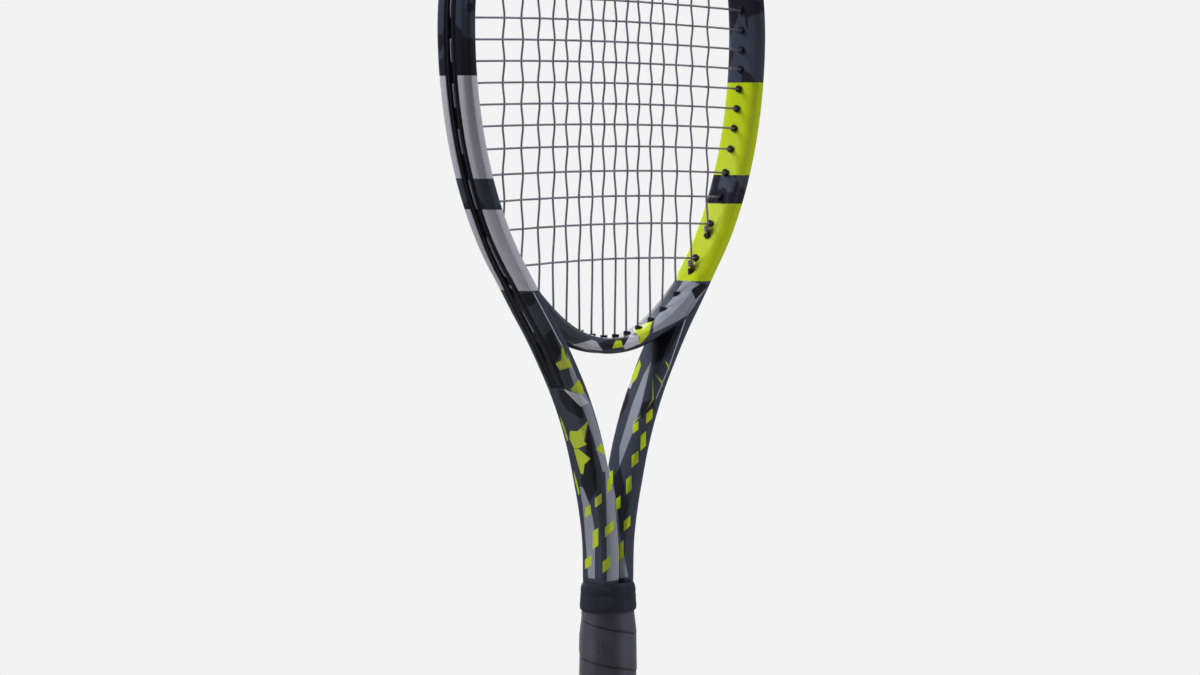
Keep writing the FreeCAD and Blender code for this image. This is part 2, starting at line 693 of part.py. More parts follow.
# ---------------------------------------------------------------- assembly
def build():
    parts = {}
    main_string, cross_string, fat = make_strings()
    parts["main_string"] = main_string
    parts["cross_string"] = cross_string

    half_body = make_half_body()
    half_core = sweep(tube_sections("core"))
    drills = barrels("side", HOLE_GAP) + barrels("bumper", HOLE_GAP)
    parts["frame_tube"] = both_sides(half_body.cut([half_core] + drills))
    body = [half_body, mirrored(half_body)]

    shoulder = barrels("side", HOLE_GAP)
    throat = barrels("bridge", HOLE_GAP)
    both = throat + shoulder
    bridge, bridge_core = make_bridge(body, both + [mirrored(d) for d in both])
    parts["throat_bridge"] = bridge
    parts["bridge_core"] = bridge_core
    parts["throat_grommet_strip"] = make_throat_strip(body, fat)
    parts["bumper_guard"] = make_bumper(half_body, fat)
    parts["grommet_strip_right"] = make_side_strip(fat + [mirrored(thick) for thick in fat])
    parts["grommet_strip_left"] = mirrored(parts["grommet_strip_right"])

    core = [half_core, mirrored(half_core)]
    pallet, cap, door, staples, wrap, plugs = make_handle(body, core)
    parts["handle_pallet"] = pallet
    parts["butt_cap"] = cap
    parts["butt_door"] = door
    parts["butt_staple_left"], parts["butt_staple_right"] = staples
    parts["grip_wrap"] = wrap
    parts["handle_plug_right"], parts["handle_plug_left"] = plugs
    parts["finishing_tape"], parts["grip_collar"] = make_collar_parts()
    return parts


os.makedirs("parts", exist_ok=True)
for name, shape in build().items():
    shape.exportStep("parts/%s.step" % name)
    print("%-22s %9.1f mm3  solids %d" % (name, shape.Volume, len(shape.Solids)))
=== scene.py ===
"""Tennis racket: painted hoop and throat, woven strings, grommets, bumper, wrapped grip, collar and butt."""
import math
import bpy
from bpy.props import FloatProperty, FloatVectorProperty, IntProperty, PointerProperty
from mathutils import Matrix, Vector
from mathutils.geometry import tessellate_polygon


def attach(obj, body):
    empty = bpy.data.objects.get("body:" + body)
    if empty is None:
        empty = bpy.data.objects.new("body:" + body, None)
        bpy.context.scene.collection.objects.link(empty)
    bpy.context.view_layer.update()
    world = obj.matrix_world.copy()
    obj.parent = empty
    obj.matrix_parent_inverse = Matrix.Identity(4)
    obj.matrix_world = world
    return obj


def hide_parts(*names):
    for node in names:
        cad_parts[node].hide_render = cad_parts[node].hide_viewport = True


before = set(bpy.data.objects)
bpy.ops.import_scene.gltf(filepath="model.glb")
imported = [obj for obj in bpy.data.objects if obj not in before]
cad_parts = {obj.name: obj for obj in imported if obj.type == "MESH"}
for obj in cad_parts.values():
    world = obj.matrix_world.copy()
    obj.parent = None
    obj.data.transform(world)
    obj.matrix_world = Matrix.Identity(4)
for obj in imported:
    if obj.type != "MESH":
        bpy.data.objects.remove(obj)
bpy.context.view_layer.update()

bl_info = {
    "name": "Tennis racket",
    "version": (1, 0, 0),
    "blender": (4, 5, 0),
    "location": "3D View > Sidebar > Racket",
    "description": "Builds a tennis racket over its measured frame",
    "category": "Add Mesh",
}

MM = 0.001

# Centre line of the right shaft from the handle to the shoulder, (x, z) in mm; the head above is an ellipse.
THROAT_LINE = [(7, 14), (7, 60), (7, 110), (7, 150), (7, 180), (7, 205), (8, 222), (11.2, 240), (15.2, 256),
               (20.3, 274), (27, 292), (35.6, 310), (46.2, 328), (58.2, 346), (71.8, 364)]
HEAD_Z = 525.0
HEAD_X = 130.3
HEAD_LOW = 188.4
HEAD_HIGH = 152.3
# height, inner half thickness, outer half thickness, half depth of the tube
TUBE = [(0, 7.2, 5.9, 9.75), (184, 7.2, 5.9, 9.75), (194, 7.2, 7.1, 11.5), (216, 7.2, 7.1, 11.5),
        (262, 7.0, 7.0, 11.7), (330, 6.6, 6.6, 12.0), (380, 5.5, 5.5, 12.3), (440, 5.2, 5.2, 12.8),
        (525, 5.0, 5.0, 13.0), (620, 5.1, 5.1, 12.25), (700, 5.2, 5.2, 11.5)]
GROOVE = [(300, 5.2), (332, 6.6), (368, 6.0), (410, 4.6), (700, 4.4)]
GROOVE_START = 317.0
GROOVE_DEPTH = 2.5
BUMPER_START = 589.5
MAIN_X = [5.2, 15.7, 26.3, 37.8, 49.0, 61.8, 75.9, 91.4]
CROSS_Z = [386.7, 407.8, 424.5, 439.7, 454.5, 467.6, 480.0, 492.4, 504.8, 517.1, 529.5, 541.8,
           554.6, 567.8, 581.8, 597.2, 614.5, 632.5, 648.0]
BRIDGE_MAINS = 5
BRIDGE_HALF = 4.9
THROAT_FAN = 0.93
HOLE_LEAN = 0.8
STRING_LIFT = 1.35     # string centre above the floor of the groove


# ---------------------------------------------------------------- helpers
def srgb(code):
    """Linear colour of an sRGB hex value."""
    parts = [int(code[i:i + 2], 16) / 255 for i in (1, 3, 5)]
    return tuple(c / 12.92 if c <= 0.04045 else ((c + 0.055) / 1.055) ** 2.4 for c in parts) + (1.0,)


def add(tree, kind, inputs=None, **settings):
    """Adds one node; an input given as a socket is linked, anything else is its value."""
    node = tree.nodes.new(kind)
    for name, value in settings.items():
        setattr(node, name, value)
    for key, value in (inputs or {}).items():
        if isinstance(value, bpy.types.NodeSocket):
            tree.links.new(value, node.inputs[key])
        else:
            node.inputs[key].default_value = value
    return node


def between(rows, height, column):
    if height <= rows[0][0]:
        return rows[0][column]
    for low, high in zip(rows, rows[1:]):
        if height <= high[0]:
            share = (height - low[0]) / (high[0] - low[0])
            return low[column] + (high[column] - low[column]) * share
    return rows[-1][column]


def ease(value):
    value = min(1.0, max(0.0, value))
    return value * value * (3 - 2 * value)


def ellipse(degrees, offset=0.0):
    angle = math.radians(degrees)
    tall = HEAD_LOW if degrees < 90 else HEAD_HIGH
    return ((HEAD_X + offset) * math.sin(angle), HEAD_Z - (tall + offset) * math.cos(angle))


def curve_through(points, step):
    """Points every step or so on a smooth line through the given ones."""
    line = []
    for i in range(len(points) - 1):
        p0, p1, p2, p3 = (points[min(max(i + k, 0), len(points) - 1)] for k in (-1, 0, 1, 2))
        count = max(1, round(math.dist(p1, p2) / step))
        for j in range(count):
            t = j / count
            line.append(tuple(0.5 * (2 * b + (c - a) * t + (2 * a - 5 * b + 4 * c - d) * t * t
                                     + (3 * b - a - 3 * c + d) * t ** 3)
                              for a, b, c, d in zip(p0, p1, p2, p3)))
    return line + [points[-1]]


def stations(line):
    """Each point of a flat line with its unit direction away from the inside of the hoop."""
    result = []
    for i, point in enumerate(line):
        before, after = line[max(i - 1, 0)], line[min(i + 1, len(line) - 1)]
        dx, dz = after[0] - before[0], after[1] - before[1]
        size = math.hypot(dx, dz)
        result.append((point[0], point[1], dz / size, -dx / size))
    return result


HALF_LINE = stations(curve_through(THROAT_LINE + [ellipse(d) for d in range(41, 180, 2)] + [ellipse(180)], 2.4))
HALF_LINE[-1] = (0.0, HEAD_Z + HEAD_HIGH, 0.0, 1.0)
FULL_LINE = HALF_LINE + [(-x, z, -nx, nz) for x, z, nx, nz in HALF_LINE[-2::-1]]


def skin(rings):
    """Points and faces of a tube through rings of equal length, with flat ends."""
    size = len(rings[0])
    points = [p for ring in rings for p in ring]
    faces = []
    for row in range(len(rings) - 1):
        for k in range(size):
            a, b = row * size + k, row * size + (k + 1) % size
            faces.append((a, b, b + size, a + size))
    faces.append(tuple(range(size))[::-1])
    faces.append(tuple(range((len(rings) - 1) * size, len(rings) * size)))
    return points, faces


def volume_sign(points, faces):
    total = 0.0
    for face in faces:
        a = Vector(points[face[0]])
        for i in range(1, len(face) - 1):
            total += a.dot(Vector(points[face[i]]).cross(Vector(points[face[i + 1]])))
    return total


def piece(name, shells, material, body, nodes=(), crisp=35.0):
    """A mesh object from shells given in mm, each turned to face outwards."""
    vertices, polygons = [], []
    for points, faces in shells:
        if volume_sign(points, faces) < 0:
            faces = [face[::-1] for face in faces]
        start = len(vertices)
        vertices += [(p[0] * MM, p[1] * MM, p[2] * MM) for p in points]
        polygons += [tuple(i + start for i in face) for face in faces]
    mesh = bpy.data.meshes.new(name)
    mesh.from_pydata(vertices, [], polygons)
    mesh.polygons.foreach_set("use_smooth", [True] * len(mesh.polygons))
    mesh.set_sharp_from_angle(angle=math.radians(crisp))
    mesh.materials.append(material)
    return settle(bpy.data.objects.new(name, mesh), body, nodes)


def settle(obj, body, nodes):
    if obj.name not in bpy.context.scene.collection.all_objects:
        bpy.context.scene.collection.objects.link(obj)
    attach(obj, body)
    if nodes:
        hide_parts(*nodes)
    return obj


def finish_node(name, material):
    """Gives a node of the frame its material."""
    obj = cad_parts[name]
    obj.data.materials.clear()
    obj.data.materials.append(material)


# ---------------------------------------------------------------- materials
def surface(name):
    """A new material with its tree, its shader and Object coordinates in millimetres."""
    material = bpy.data.materials.new(name)
    material.use_nodes = True
    tree = material.node_tree
    shader = tree.nodes["Principled BSDF"]
    place = add(tree, "ShaderNodeTexCoord").outputs["Object"]
    mm = add(tree, "ShaderNodeVectorMath", {0: place, "Scale": 1 / MM}, operation="SCALE").outputs[0]
    return material, tree, shader, mm


def math_node(tree, operation, *values):
    return add(tree, "ShaderNodeMath", dict(enumerate(values)), operation=operation).outputs[0]


def blend(tree, share, low, high):
    """Colour low where share is 0 and high where it is 1."""
    return add(tree, "ShaderNodeMix", {0: share, 6: low, 7: high}, data_type="RGBA").outputs[2]


def relief(tree, shader, height, depth, coat=False):
    """Bump of a real depth in millimetres."""
    bump = add(tree, "ShaderNodeBump", {"Height": height, "Distance": depth * MM, "Strength": 1.0})
    tree.links.new(bump.outputs[0], shader.inputs["Normal"])
    if coat:
        tree.links.new(bump.outputs[0], shader.inputs["Coat Normal"])


def inside(tree, spot, corners):
    """Above 0 where the flat point spot lies in the polygon, given as (across, up) corners in mm."""
    size = len(corners)
    turns = [(corners[(i + 1) % size][0] - corners[i][0]) * (corners[(i + 2) % size][1] - corners[(i + 1) % size][1])
             - (corners[(i + 1) % size][1] - corners[i][1]) * (corners[(i + 2) % size][0] - corners[(i + 1) % size][0])
             for i in range(size)]
    if min(turns) < 0 < max(turns):
        flat = [Vector((a, b, 0)) for a, b in corners]
        parts = [[corners[i] for i in triangle] for triangle in tessellate_polygon([flat])]
    else:
        parts = [corners]
    result = None
    for part in parts:
        centre = [sum(p[k] for p in part) / len(part) for k in (0, 1)]
        nearest = None
        for (ax, az), (bx, bz) in zip(part, part[1:] + part[:1]):
            length = math.hypot(bx - ax, bz - az)
            nx, nz = (az - bz) / length, (bx - ax) / length
            base = nx * ax + nz * az
            if nx * centre[0] + nz * centre[1] < base:
                nx, nz, base = -nx, -nz, -base
            reach = add(tree, "ShaderNodeVectorMath", {0: spot, 1: (nx, nz, -base)},
                        operation="DOT_PRODUCT").outputs["Value"]
            nearest = reach if nearest is None else math_node(tree, "MINIMUM", nearest, reach)
        result = nearest if result is None else math_node(tree, "MAXIMUM", result, nearest)
    return result


def any_of(tree, spot, polygons):
    """1 where spot lies in any of the polygons."""
    found = None
    for corners in polygons:
        here = inside(tree, spot, corners)
        found = here if found is None else math_node(tree, "MAXIMUM", found, here)
    return math_node(tree, "GREATER_THAN", found, 0.0)


def window(tree, value, low, high):
    """1 where low < value < high."""
    above = math_node(tree, "GREATER_THAN", value, low)
    return math_node(tree, "MULTIPLY", above, math_node(tree, "LESS_THAN", value, high))


# Painted shapes of the throat, as (across, up) corners in mm on the slanted plane that the paint is laid out on.
NIGHT_SHAPES = [
    [(-91, 371.5), (-75.5, 372), (-73, 366), (-84.5, 362.5)],
    [(-60, 350), (-67, 345.5), (-59, 320), (-57, 329), (-52, 336)],
    [(-55, 312.5), (-48, 311.5), (-35, 303), (-32, 296), (-34, 295), (-47, 300), (-53, 306)],
    [(-28, 292), (-26, 284), (-21, 262), (-20, 252), (-27, 243), (-35, 256), (-33, 260)],
    [(-5, 256), (1, 262), (8, 240), (5, 228), (2, 222), (-3, 240)],
    [(60, 350), (48, 343), (30, 338), (30, 322), (45, 330)],
    [(66, 368), (76, 372), (82, 370), (70, 362)],
    [(5, 307), (9, 304), (8, 300), (0, 290), (0, 296)],
    [(20, 300), (30, 303), (32, 297), (22, 291), (19, 292)],
    [(-18, 339), (-4, 343), (10, 342.5), (11, 339), (3, 336), (-15, 335)],
]
STONE_SHAPES = [
    [(-47, 336), (-38, 320), (-26, 304), (-12, 272), (-11, 262), (-15, 262), (-24, 284), (-34, 304), (-44, 322)],
    [(-36, 252), (-33, 252), (-26, 240), (-22, 225), (-22, 196), (-28, 196), (-30, 215), (-33, 240)],
    [(-13, 270), (-11, 266), (-2.6, 241), (0.5, 221), (8.5, 196), (-11, 195), (-11.8, 240)],
    [(29, 325), (20, 300), (13, 285), (0, 262), (0, 274), (12, 300), (22, 317)],
    [(60, 374), (82, 370), (62, 352), (45, 347), (30, 343), (31, 350), (48, 362)],
]
PALE_SHAPES_AND_HIGHLIGHT_STREAKS = [
    [(-50, 313), (-34, 310), (-28, 304.5), (-35, 302.5)],
    [(7, 309), (11, 316), (12, 313), (10, 308)],
    [(-43, 339), (-25, 341.8), (-21, 340.5), (-15.5, 334.5), (-30, 336)],
    [(9, 342.5), (17, 342), (18, 337), (5, 334), (3, 336)],
    # the last two are painted highlights: thin pale streaks along the front of the left and the right shaft
    [(-75, 372), (-60, 352), (-51, 340), (-51.8, 340), (-60.8, 352), (-76, 372)],
    [(60, 350), (45, 322), (33, 303), (33.6, 303), (45.8, 322), (60.8, 350)],
]
LIME_SHAPES = [
    [(-51, 340.5), (-48, 334), (-42, 327), (-53, 325), (-57, 329), (-52, 331)],
    [(-44, 313), (-36.5, 319), (-33, 314.5), (-32, 310), (-41, 311.5)],
    [(-44.5, 287), (-38, 287), (-28, 294), (-32, 281), (-29, 279.5), (-37, 276.3), (-41, 276), (-45, 282)],
    [(-41, 275.5), (-37, 276), (-26, 270.5), (-31.5, 266.5), (-32.5, 260.5), (-35, 260.5)],
    [(-53.5, 296), (-50.5, 291), (-46, 281), (-47, 280), (-52, 291)],
    [(-41.5, 262), (-38, 255), (-36, 248), (-37, 246.5), (-40, 255)],
    [(-21.5, 276), (-16, 280), (-13, 272)],
    [(-7, 280), (-5, 286), (-3, 286), (-4, 281)],
    [(12, 317), (18.5, 325.5), (19.5, 322), (16, 315), (11, 310.5)],
    [(41, 326), (44, 324), (46, 319), (43, 323)],
    [(32, 318), (38, 314), (40, 309), (37.2, 313)],
    [(30, 316), (31, 303), (25, 297), (29.8, 303)],
    [(20, 293), (12, 288), (13, 289.8)],
    [(-4, 340), (1, 340), (3, 336), (-7, 335.5)],
    [(12, 345), (30, 350), (26, 342), (18, 336.5), (18, 341)],
]


def shard(x, z, wide, tall):
    """A plain slanted parallelogram, all of them leaning the same way."""
    rise = 0.55 * wide
    return [(x, z), (x, z + tall), (x + wide, z + rise + tall), (x + wide, z + rise)]


# Scattered shards of the neck and of the foot of the right shaft.
LIME_SHAPES += [shard(x, z, wide, tall) for x, z, wide, tall in (
    (-31, 201, 6, 6), (-24, 214, 5, 11), (-31, 233, 5, 6), (-15, 200, 7, 7), (-22, 240, 6, 6), (-13, 222, 8, 6),
    (-11, 249, 5, 8), (-1, 206, 5, 10), (-3, 236, 4, 7), (4, 224, 6, 6), (6, 246, 5, 9), (11, 262, 6, 7),
    (19, 272, 5, 9), (24, 288, 6, 6), (12, 282, 5, 5))]


def lacquered_graphite(colours):
    """Carbon-fibre laminate, sprayed and clear coated: deep colour under a thin glossy skin, faint orange peel."""
    material, tree, shader, mm = surface("lacquered graphite laminate")
    split = add(tree, "ShaderNodeSeparateXYZ", {0: mm})
    x, y, z = split.outputs
    lean = math_node(tree, "MULTIPLY", y, 1.11)
    across = math_node(tree, "SUBTRACT", math_node(tree, "SUBTRACT", x, lean), 10.0)
    spot = add(tree, "ShaderNodeCombineXYZ", {0: across, 1: z, 2: 1.0}).outputs[0]
    night, slate, stone, pale, lime = (tuple(getattr(colours, k)) for k in ("night", "slate", "stone", "pale", "lime"))

    # angular camouflage: cells about 16 mm across, sheared so that their edges run as chevrons
    shear = math_node(tree, "ABSOLUTE", y)
    lifted = math_node(tree, "ADD", z, math_node(tree, "MULTIPLY", shear, 0.8))
    cell_spot = add(tree, "ShaderNodeCombineXYZ", {0: math_node(tree, "MULTIPLY", x, 0.6), 1: y, 2: lifted}).outputs[0]
    cells = add(tree, "ShaderNodeTexVoronoi", {"Vector": cell_spot, "Scale": 1 / 16, "Randomness": 0.9},
                distance="MANHATTAN").outputs["Color"]
    choice = add(tree, "ShaderNodeSeparateColor", {0: cells}).outputs[0]
    camo = blend(tree, math_node(tree, "GREATER_THAN", choice, 0.56), night, slate)

    left = math_node(tree, "LESS_THAN", x, 0.0)
    right = math_node(tree, "SUBTRACT", 1.0, left)
    band_low = window(tree, z, 373.0, 420.5)
    band_high = window(tree, z, 438.3, 496.5)
    bands = math_node(tree, "MAXIMUM", band_low, band_high)
    throat = math_node(tree, "LESS_THAN", z, 373.0)

    base = blend(tree, throat, camo, slate)
    base = blend(tree, any_of(tree, spot, STONE_SHAPES), base, stone)
    base = blend(tree, any_of(tree, spot, NIGHT_SHAPES), base, night)
    # pale grey patches, and the painted highlight streaks along the shafts
    base = blend(tree, any_of(tree, spot, PALE_SHAPES_AND_HIGHLIGHT_STREAKS), base, pale)
    base = blend(tree, any_of(tree, spot, LIME_SHAPES), base, lime)
    base = blend(tree, math_node(tree, "MULTIPLY", bands, left), base, pale)
    base = blend(tree, math_node(tree, "MULTIPLY", bands, right), base, lime)

    # pigment cloud and flake, a few tenths of a millimetre in life and drawn coarser so that it shows
    cloud = add(tree, "ShaderNodeTexNoise", {"Vector": mm, "Scale": 0.9, "Detail": 4.0}).outputs[0]
    shade = add(tree, "ShaderNodeMapRange", {0: cloud, 1: 0.3, 2: 0.7, 3: 0.93, 4: 1.07}).outputs[0]
    tinted = add(tree, "ShaderNodeMix", {0: 1.0, 6: base, 7: shade}, data_type="RGBA", blend_type="MULTIPLY")
    tree.links.new(tinted.outputs[2], shader.inputs["Base Color"])
    gloss = add(tree, "ShaderNodeMapRange", {0: cloud, 1: 0.3, 2: 0.7, 3: 0.34, 4: 0.44}).outputs[0]
    tree.links.new(gloss, shader.inputs["Roughness"])
    shader.inputs["IOR"].default_value = 1.5
    shader.inputs["Coat Weight"].default_value = 0.35
    shader.inputs["Coat Roughness"].default_value = 0.12
    peel = add(tree, "ShaderNodeTexNoise", {"Vector": mm, "Scale": 0.7, "Detail": 1.0}).outputs[0]
    relief(tree, shader, peel, 0.02, coat=True)
    return material


def moulded_nylon(name, colour, roughness, grain, depth):
    """Injection-moulded nylon: satin with the spark-eroded grain of its tool, paler where it is scuffed."""
    material, tree, shader, mm = surface(name)
    texture = add(tree, "ShaderNodeTexNoise", {"Vector": mm, "Scale": 1 / grain, "Detail": 3.0}).outputs[0]
    scuff = add(tree, "ShaderNodeTexNoise", {"Vector": mm, "Scale": 0.12, "Detail": 5.0}).outputs[0]
    worn = add(tree, "ShaderNodeMapRange", {0: scuff, 1: 0.55, 2: 0.75, 3: 0.0, 4: 0.25}).outputs[0]
    paler = tuple(min(1.0, c * 2.2 + 0.01) for c in colour[:3]) + (1.0,)
    tree.links.new(blend(tree, worn, tuple(colour), paler), shader.inputs["Base Color"])
    rough = add(tree, "ShaderNodeMapRange", {0: texture, 1: 0.3, 2: 0.7, 3: roughness - 0.06, 4: roughness + 0.08})
    tree.links.new(rough.outputs[0], shader.inputs["Roughness"])
    shader.inputs["IOR"].default_value = 1.53
    relief(tree, shader, texture, depth)
    return material


def polyester_string(name, colour):
    """Extruded co-polyester monofilament: smooth and half glossy, dulled in short runs where strings rub."""
    material, tree, shader, mm = surface(name)
    rub = add(tree, "ShaderNodeTexNoise", {"Vector": mm, "Scale": 0.25, "Detail": 2.0}).outputs[0]
    deep = tuple(c * 0.72 for c in colour[:3]) + (1.0,)
    tree.links.new(blend(tree, rub, deep, tuple(colour)), shader.inputs["Base Color"])
    rough = add(tree, "ShaderNodeMapRange", {0: rub, 1: 0.35, 2: 0.65, 3: 0.28, 4: 0.5}).outputs[0]
    tree.links.new(rough, shader.inputs["Roughness"])
    shader.inputs["IOR"].default_value = 1.57
    fine = add(tree, "ShaderNodeTexNoise", {"Vector": mm, "Scale": 3.0, "Detail": 1.0}).outputs[0]
    relief(tree, shader, fine, 0.02)
    return material


def wrapped_polyurethane(colour, pitch):
    """Embossed polyurethane over felt, spirally wound: soft sheen, fine leather grain, rows of pinholes."""
    material, tree, shader, mm = surface("embossed polyurethane grip")
    x, y, z = add(tree, "ShaderNodeSeparateXYZ", {0: mm}).outputs
    turn = math_node(tree, "MULTIPLY", math_node(tree, "ARCTAN2", y, x), 1 / math.tau)
    along = math_node(tree, "ADD", math_node(tree, "DIVIDE", z, pitch), turn)
    phase = math_node(tree, "FRACT", along)
    edge = math_node(tree, "MINIMUM", phase, math_node(tree, "SUBTRACT", 1.0, phase))
    seam = add(tree, "ShaderNodeMapRange", {0: edge, 1: 0.0, 2: 0.05, 3: 0.0, 4: 1.0},
               interpolation_type="SMOOTHSTEP").outputs[0]
    # pinholes about 0.6 mm wide in rows 5 mm apart
    around = math_node(tree, "MULTIPLY", turn, 22.0)
    hole_spot = add(tree, "ShaderNodeCombineXYZ", {0: math_node(tree, "FRACT", around),
                    1: math_node(tree, "FRACT", math_node(tree, "MULTIPLY", along, pitch / 5.0))}).outputs[0]
    gap = add(tree, "ShaderNodeVectorMath", {0: hole_spot, 1: (0.5, 0.5, 0.0)}, operation="DISTANCE").outputs["Value"]
    hole = add(tree, "ShaderNodeMapRange", {0: gap, 1: 0.05, 2: 0.09, 3: 0.0, 4: 1.0}).outputs[0]
    grain = add(tree, "ShaderNodeTexVoronoi", {"Vector": mm, "Scale": 1.6}).outputs["Distance"]
    handled = add(tree, "ShaderNodeTexNoise", {"Vector": mm, "Scale": 0.06, "Detail": 4.0}).outputs[0]
    polished = add(tree, "ShaderNodeMapRange", {0: handled, 1: 0.35, 2: 0.65, 3: 0.0, 4: 1.0}).outputs[0]
    lighter = tuple(min(1.0, c * 1.5) for c in colour[:3]) + (1.0,)
    skin_colour = blend(tree, polished, tuple(colour), lighter)
    # painted shade: the seams between turns and the pinholes are darkened to a quarter of the grip colour
    seam_and_pinhole_shade = tuple(c * 0.25 for c in colour[:3]) + (1.0,)
    open_share = math_node(tree, "MULTIPLY", seam, hole)
    tree.links.new(blend(tree, open_share, seam_and_pinhole_shade, skin_colour), shader.inputs["Base Color"])
    rough = add(tree, "ShaderNodeMapRange", {0: handled, 1: 0.3, 2: 0.7, 3: 0.4, 4: 0.52}).outputs[0]
    tree.links.new(rough, shader.inputs["Roughness"])
    shader.inputs["Sheen Weight"].default_value = 0.12
    shader.inputs["Sheen Roughness"].default_value = 0.5
    height = math_node(tree, "ADD", math_node(tree, "MULTIPLY", grain, 0.35), open_share)
    relief(tree, shader, height, 0.12)
    return material


def plain_material(name, colour, roughness, metallic, scale, depth):
    """Foam, tape or steel that is mostly hidden: mottled tone and its own surface grain."""
    material, tree, shader, mm = surface(name)
    grain = add(tree, "ShaderNodeTexNoise", {"Vector": mm, "Scale": scale, "Detail": 3.0}).outputs[0]
    deep = tuple(c * 0.75 for c in colour[:3]) + (1.0,)
    tree.links.new(blend(tree, grain, deep, tuple(colour)), shader.inputs["Base Color"])
    rough = add(tree, "ShaderNodeMapRange", {0: grain, 1: 0.3, 2: 0.7, 3: roughness - 0.05, 4: roughness + 0.08})
    tree.links.new(rough.outputs[0], shader.inputs["Roughness"])
    shader.inputs["Metallic"].default_value = metallic
    relief(tree, shader, grain, depth)
    return material


# ---------------------------------------------------------------- hoop, bridge, guards
def place_section(station, section):
    """A section given as (outwards, front) offsets, set at a station of the line."""
    x, z, nx, nz = station
    return [(x + nx * u, -v, z + nz * u) for u, v in section]


def both_faces(half):
    """Closes a half section, listed from the outer middle to the inner middle, with its other side."""
    return half + [(u, -v) for u, v in reversed(half[1:-1])]


def tube_section(z):
    inner, outer, depth = (between(TUBE, z, k) for k in (1, 2, 3))
    wide = between(GROOVE, z, 1)
    sunk = GROOVE_DEPTH * min(1.0, max(0.0, (z - GROOVE_START + 1.2) / 1.2))
    half = [(outer - sunk, 0.0), (outer - sunk, wide - 0.25), (outer - min(sunk, 0.35), wide),
            (outer, wide + 0.45), (outer - 0.1, 0.66 * depth), (0.90 * outer, 0.76 * depth),
            (0.55 * outer, 0.94 * depth), (0.34 * outer, 0.99 * depth), (0.1 * outer, depth),
            (-0.35 * inner, depth), (-0.6 * inner, 0.97 * depth), (-0.86 * inner, 0.80 * depth),
            (-0.98 * inner, 0.58 * depth), (-inner, 0.40 * depth), (-inner, 0.0)]
    return both_faces(half)


def build_hoop(material):
    rings = []
    for station in FULL_LINE:
        ring = place_section(station, tube_section(station[1]))
        if station[1] < 262:
            side = 1 if station[0] >= 0 else -1
            ring = [(side * max(side * x, 0.0), y, z) for x, y, z in ring]
        rings.append(ring)
    return piece("racket_frame", [skin(rings)], material, "racket", ["frame_tube"], 22)


def bridge_stations(reach, count):
    result = []
    for i in range(count):
        degrees = reach * (2 * i / (count - 1) - 1)
        x, z = ellipse(degrees)
        nx, nz = math.sin(math.radians(degrees)) / HEAD_X, -math.cos(math.radians(degrees)) / HEAD_LOW
        size = math.hypot(nx, nz)
        result.append((x, z, nx / size, nz / size, degrees))
    return result


def build_bridge(material):
    """The yoke between the shafts, thicker where it flows into them, with a channel underneath for the strings."""
    rings = []
    for x, z, nx, nz, degrees in bridge_stations(39.0, 79):
        reach = abs(degrees)
        swell = ease((reach - 17) / 9) * (1 - ease((reach - 27) / 5))
        depth = 9.8 + 1.9 * min(1.0, (reach / 27) ** 2) - 0.8 * ease((reach - 30) / 8)
        low = BRIDGE_HALF + 3.5 * swell - 0.6 * ease((reach - 30) / 8)
        sunk = 1.6 * ease((24 - abs(degrees)) / 3)
        half = [(low - sunk, 0.0), (low - sunk, 3.3), (low - 0.2, 3.7), (low, 4.2), (low - 0.3, 0.62 * depth),
                (0.62 * low, 0.86 * depth), (0.40 * low, 0.96 * depth), (0.1, depth),
                (-0.30 * BRIDGE_HALF, 0.99 * depth),
                (-0.78 * BRIDGE_HALF, 0.84 * depth), (-0.96 * BRIDGE_HALF, 0.62 * depth), (-BRIDGE_HALF, 0.4 * depth),
                (-BRIDGE_HALF, 0.0)]
        rings.append(place_section((x, z, nx, nz), both_faces(half)))
    return piece("throat_yoke", [skin(rings)], material, "racket", ["throat_bridge"], 22)


def build_throat_strip(material):
    rings = []
    for x, z, nx, nz, degrees in bridge_stations(22.5, 41):
        low = BRIDGE_HALF
        half = [(low - 0.95, 0.0), (low - 0.95, 1.7), (low - 0.15, 1.9), (low - 0.1, 3.1),
                (low - 1.7, 3.2), (low - 1.7, 0.0)]
        rings.append(place_section((x, z, nx, nz), both_faces(half)))
    return piece("throat_strip", [skin(rings)], material, "racket", [], 30)


def strip_section(z):
    outer, wide = between(TUBE, z, 2), between(GROOVE, z, 1) - 0.1
    channel = max(ease((z - 371) / 4), 0.45 * ease((6.5 - abs(z - 357)) / 1.5), 0.45 * ease((6.0 - abs(z - 339)) / 1.5))
    floor = outer - 0.35 - 1.5 * channel
    rail = outer + 0.05 - 0.25 * ease((325 - z) / 8)
    half = [(floor, 0.0), (floor, 1.55), (rail - 0.1, 1.75), (rail, 2.1), (rail, wide * 0.62),
            (rail - 0.55, wide * 0.70), (rail - 0.55, wide * 0.84), (rail - 0.05, wide * 0.90),
            (rail - 0.1, wide - 0.25),
            (rail - 0.4, wide), (outer - GROOVE_DEPTH, wide), (outer - GROOVE_DEPTH, 0.0)]
    return both_faces(half)


def build_side_strip(side, material):
    stations_here = [s for s in HALF_LINE if GROOVE_START < s[1] < BUMPER_START]
    rings = [place_section(s, strip_section(s[1])) for s in stations_here]
    if side < 0:
        rings = [[(-x, y, z) for x, y, z in ring] for ring in rings]
    name = "side_strip_right" if side > 0 else "side_strip_left"
    node = "grommet_strip_right" if side > 0 else "grommet_strip_left"
    return piece(name, [skin(rings)], material, "racket", [node], 28)


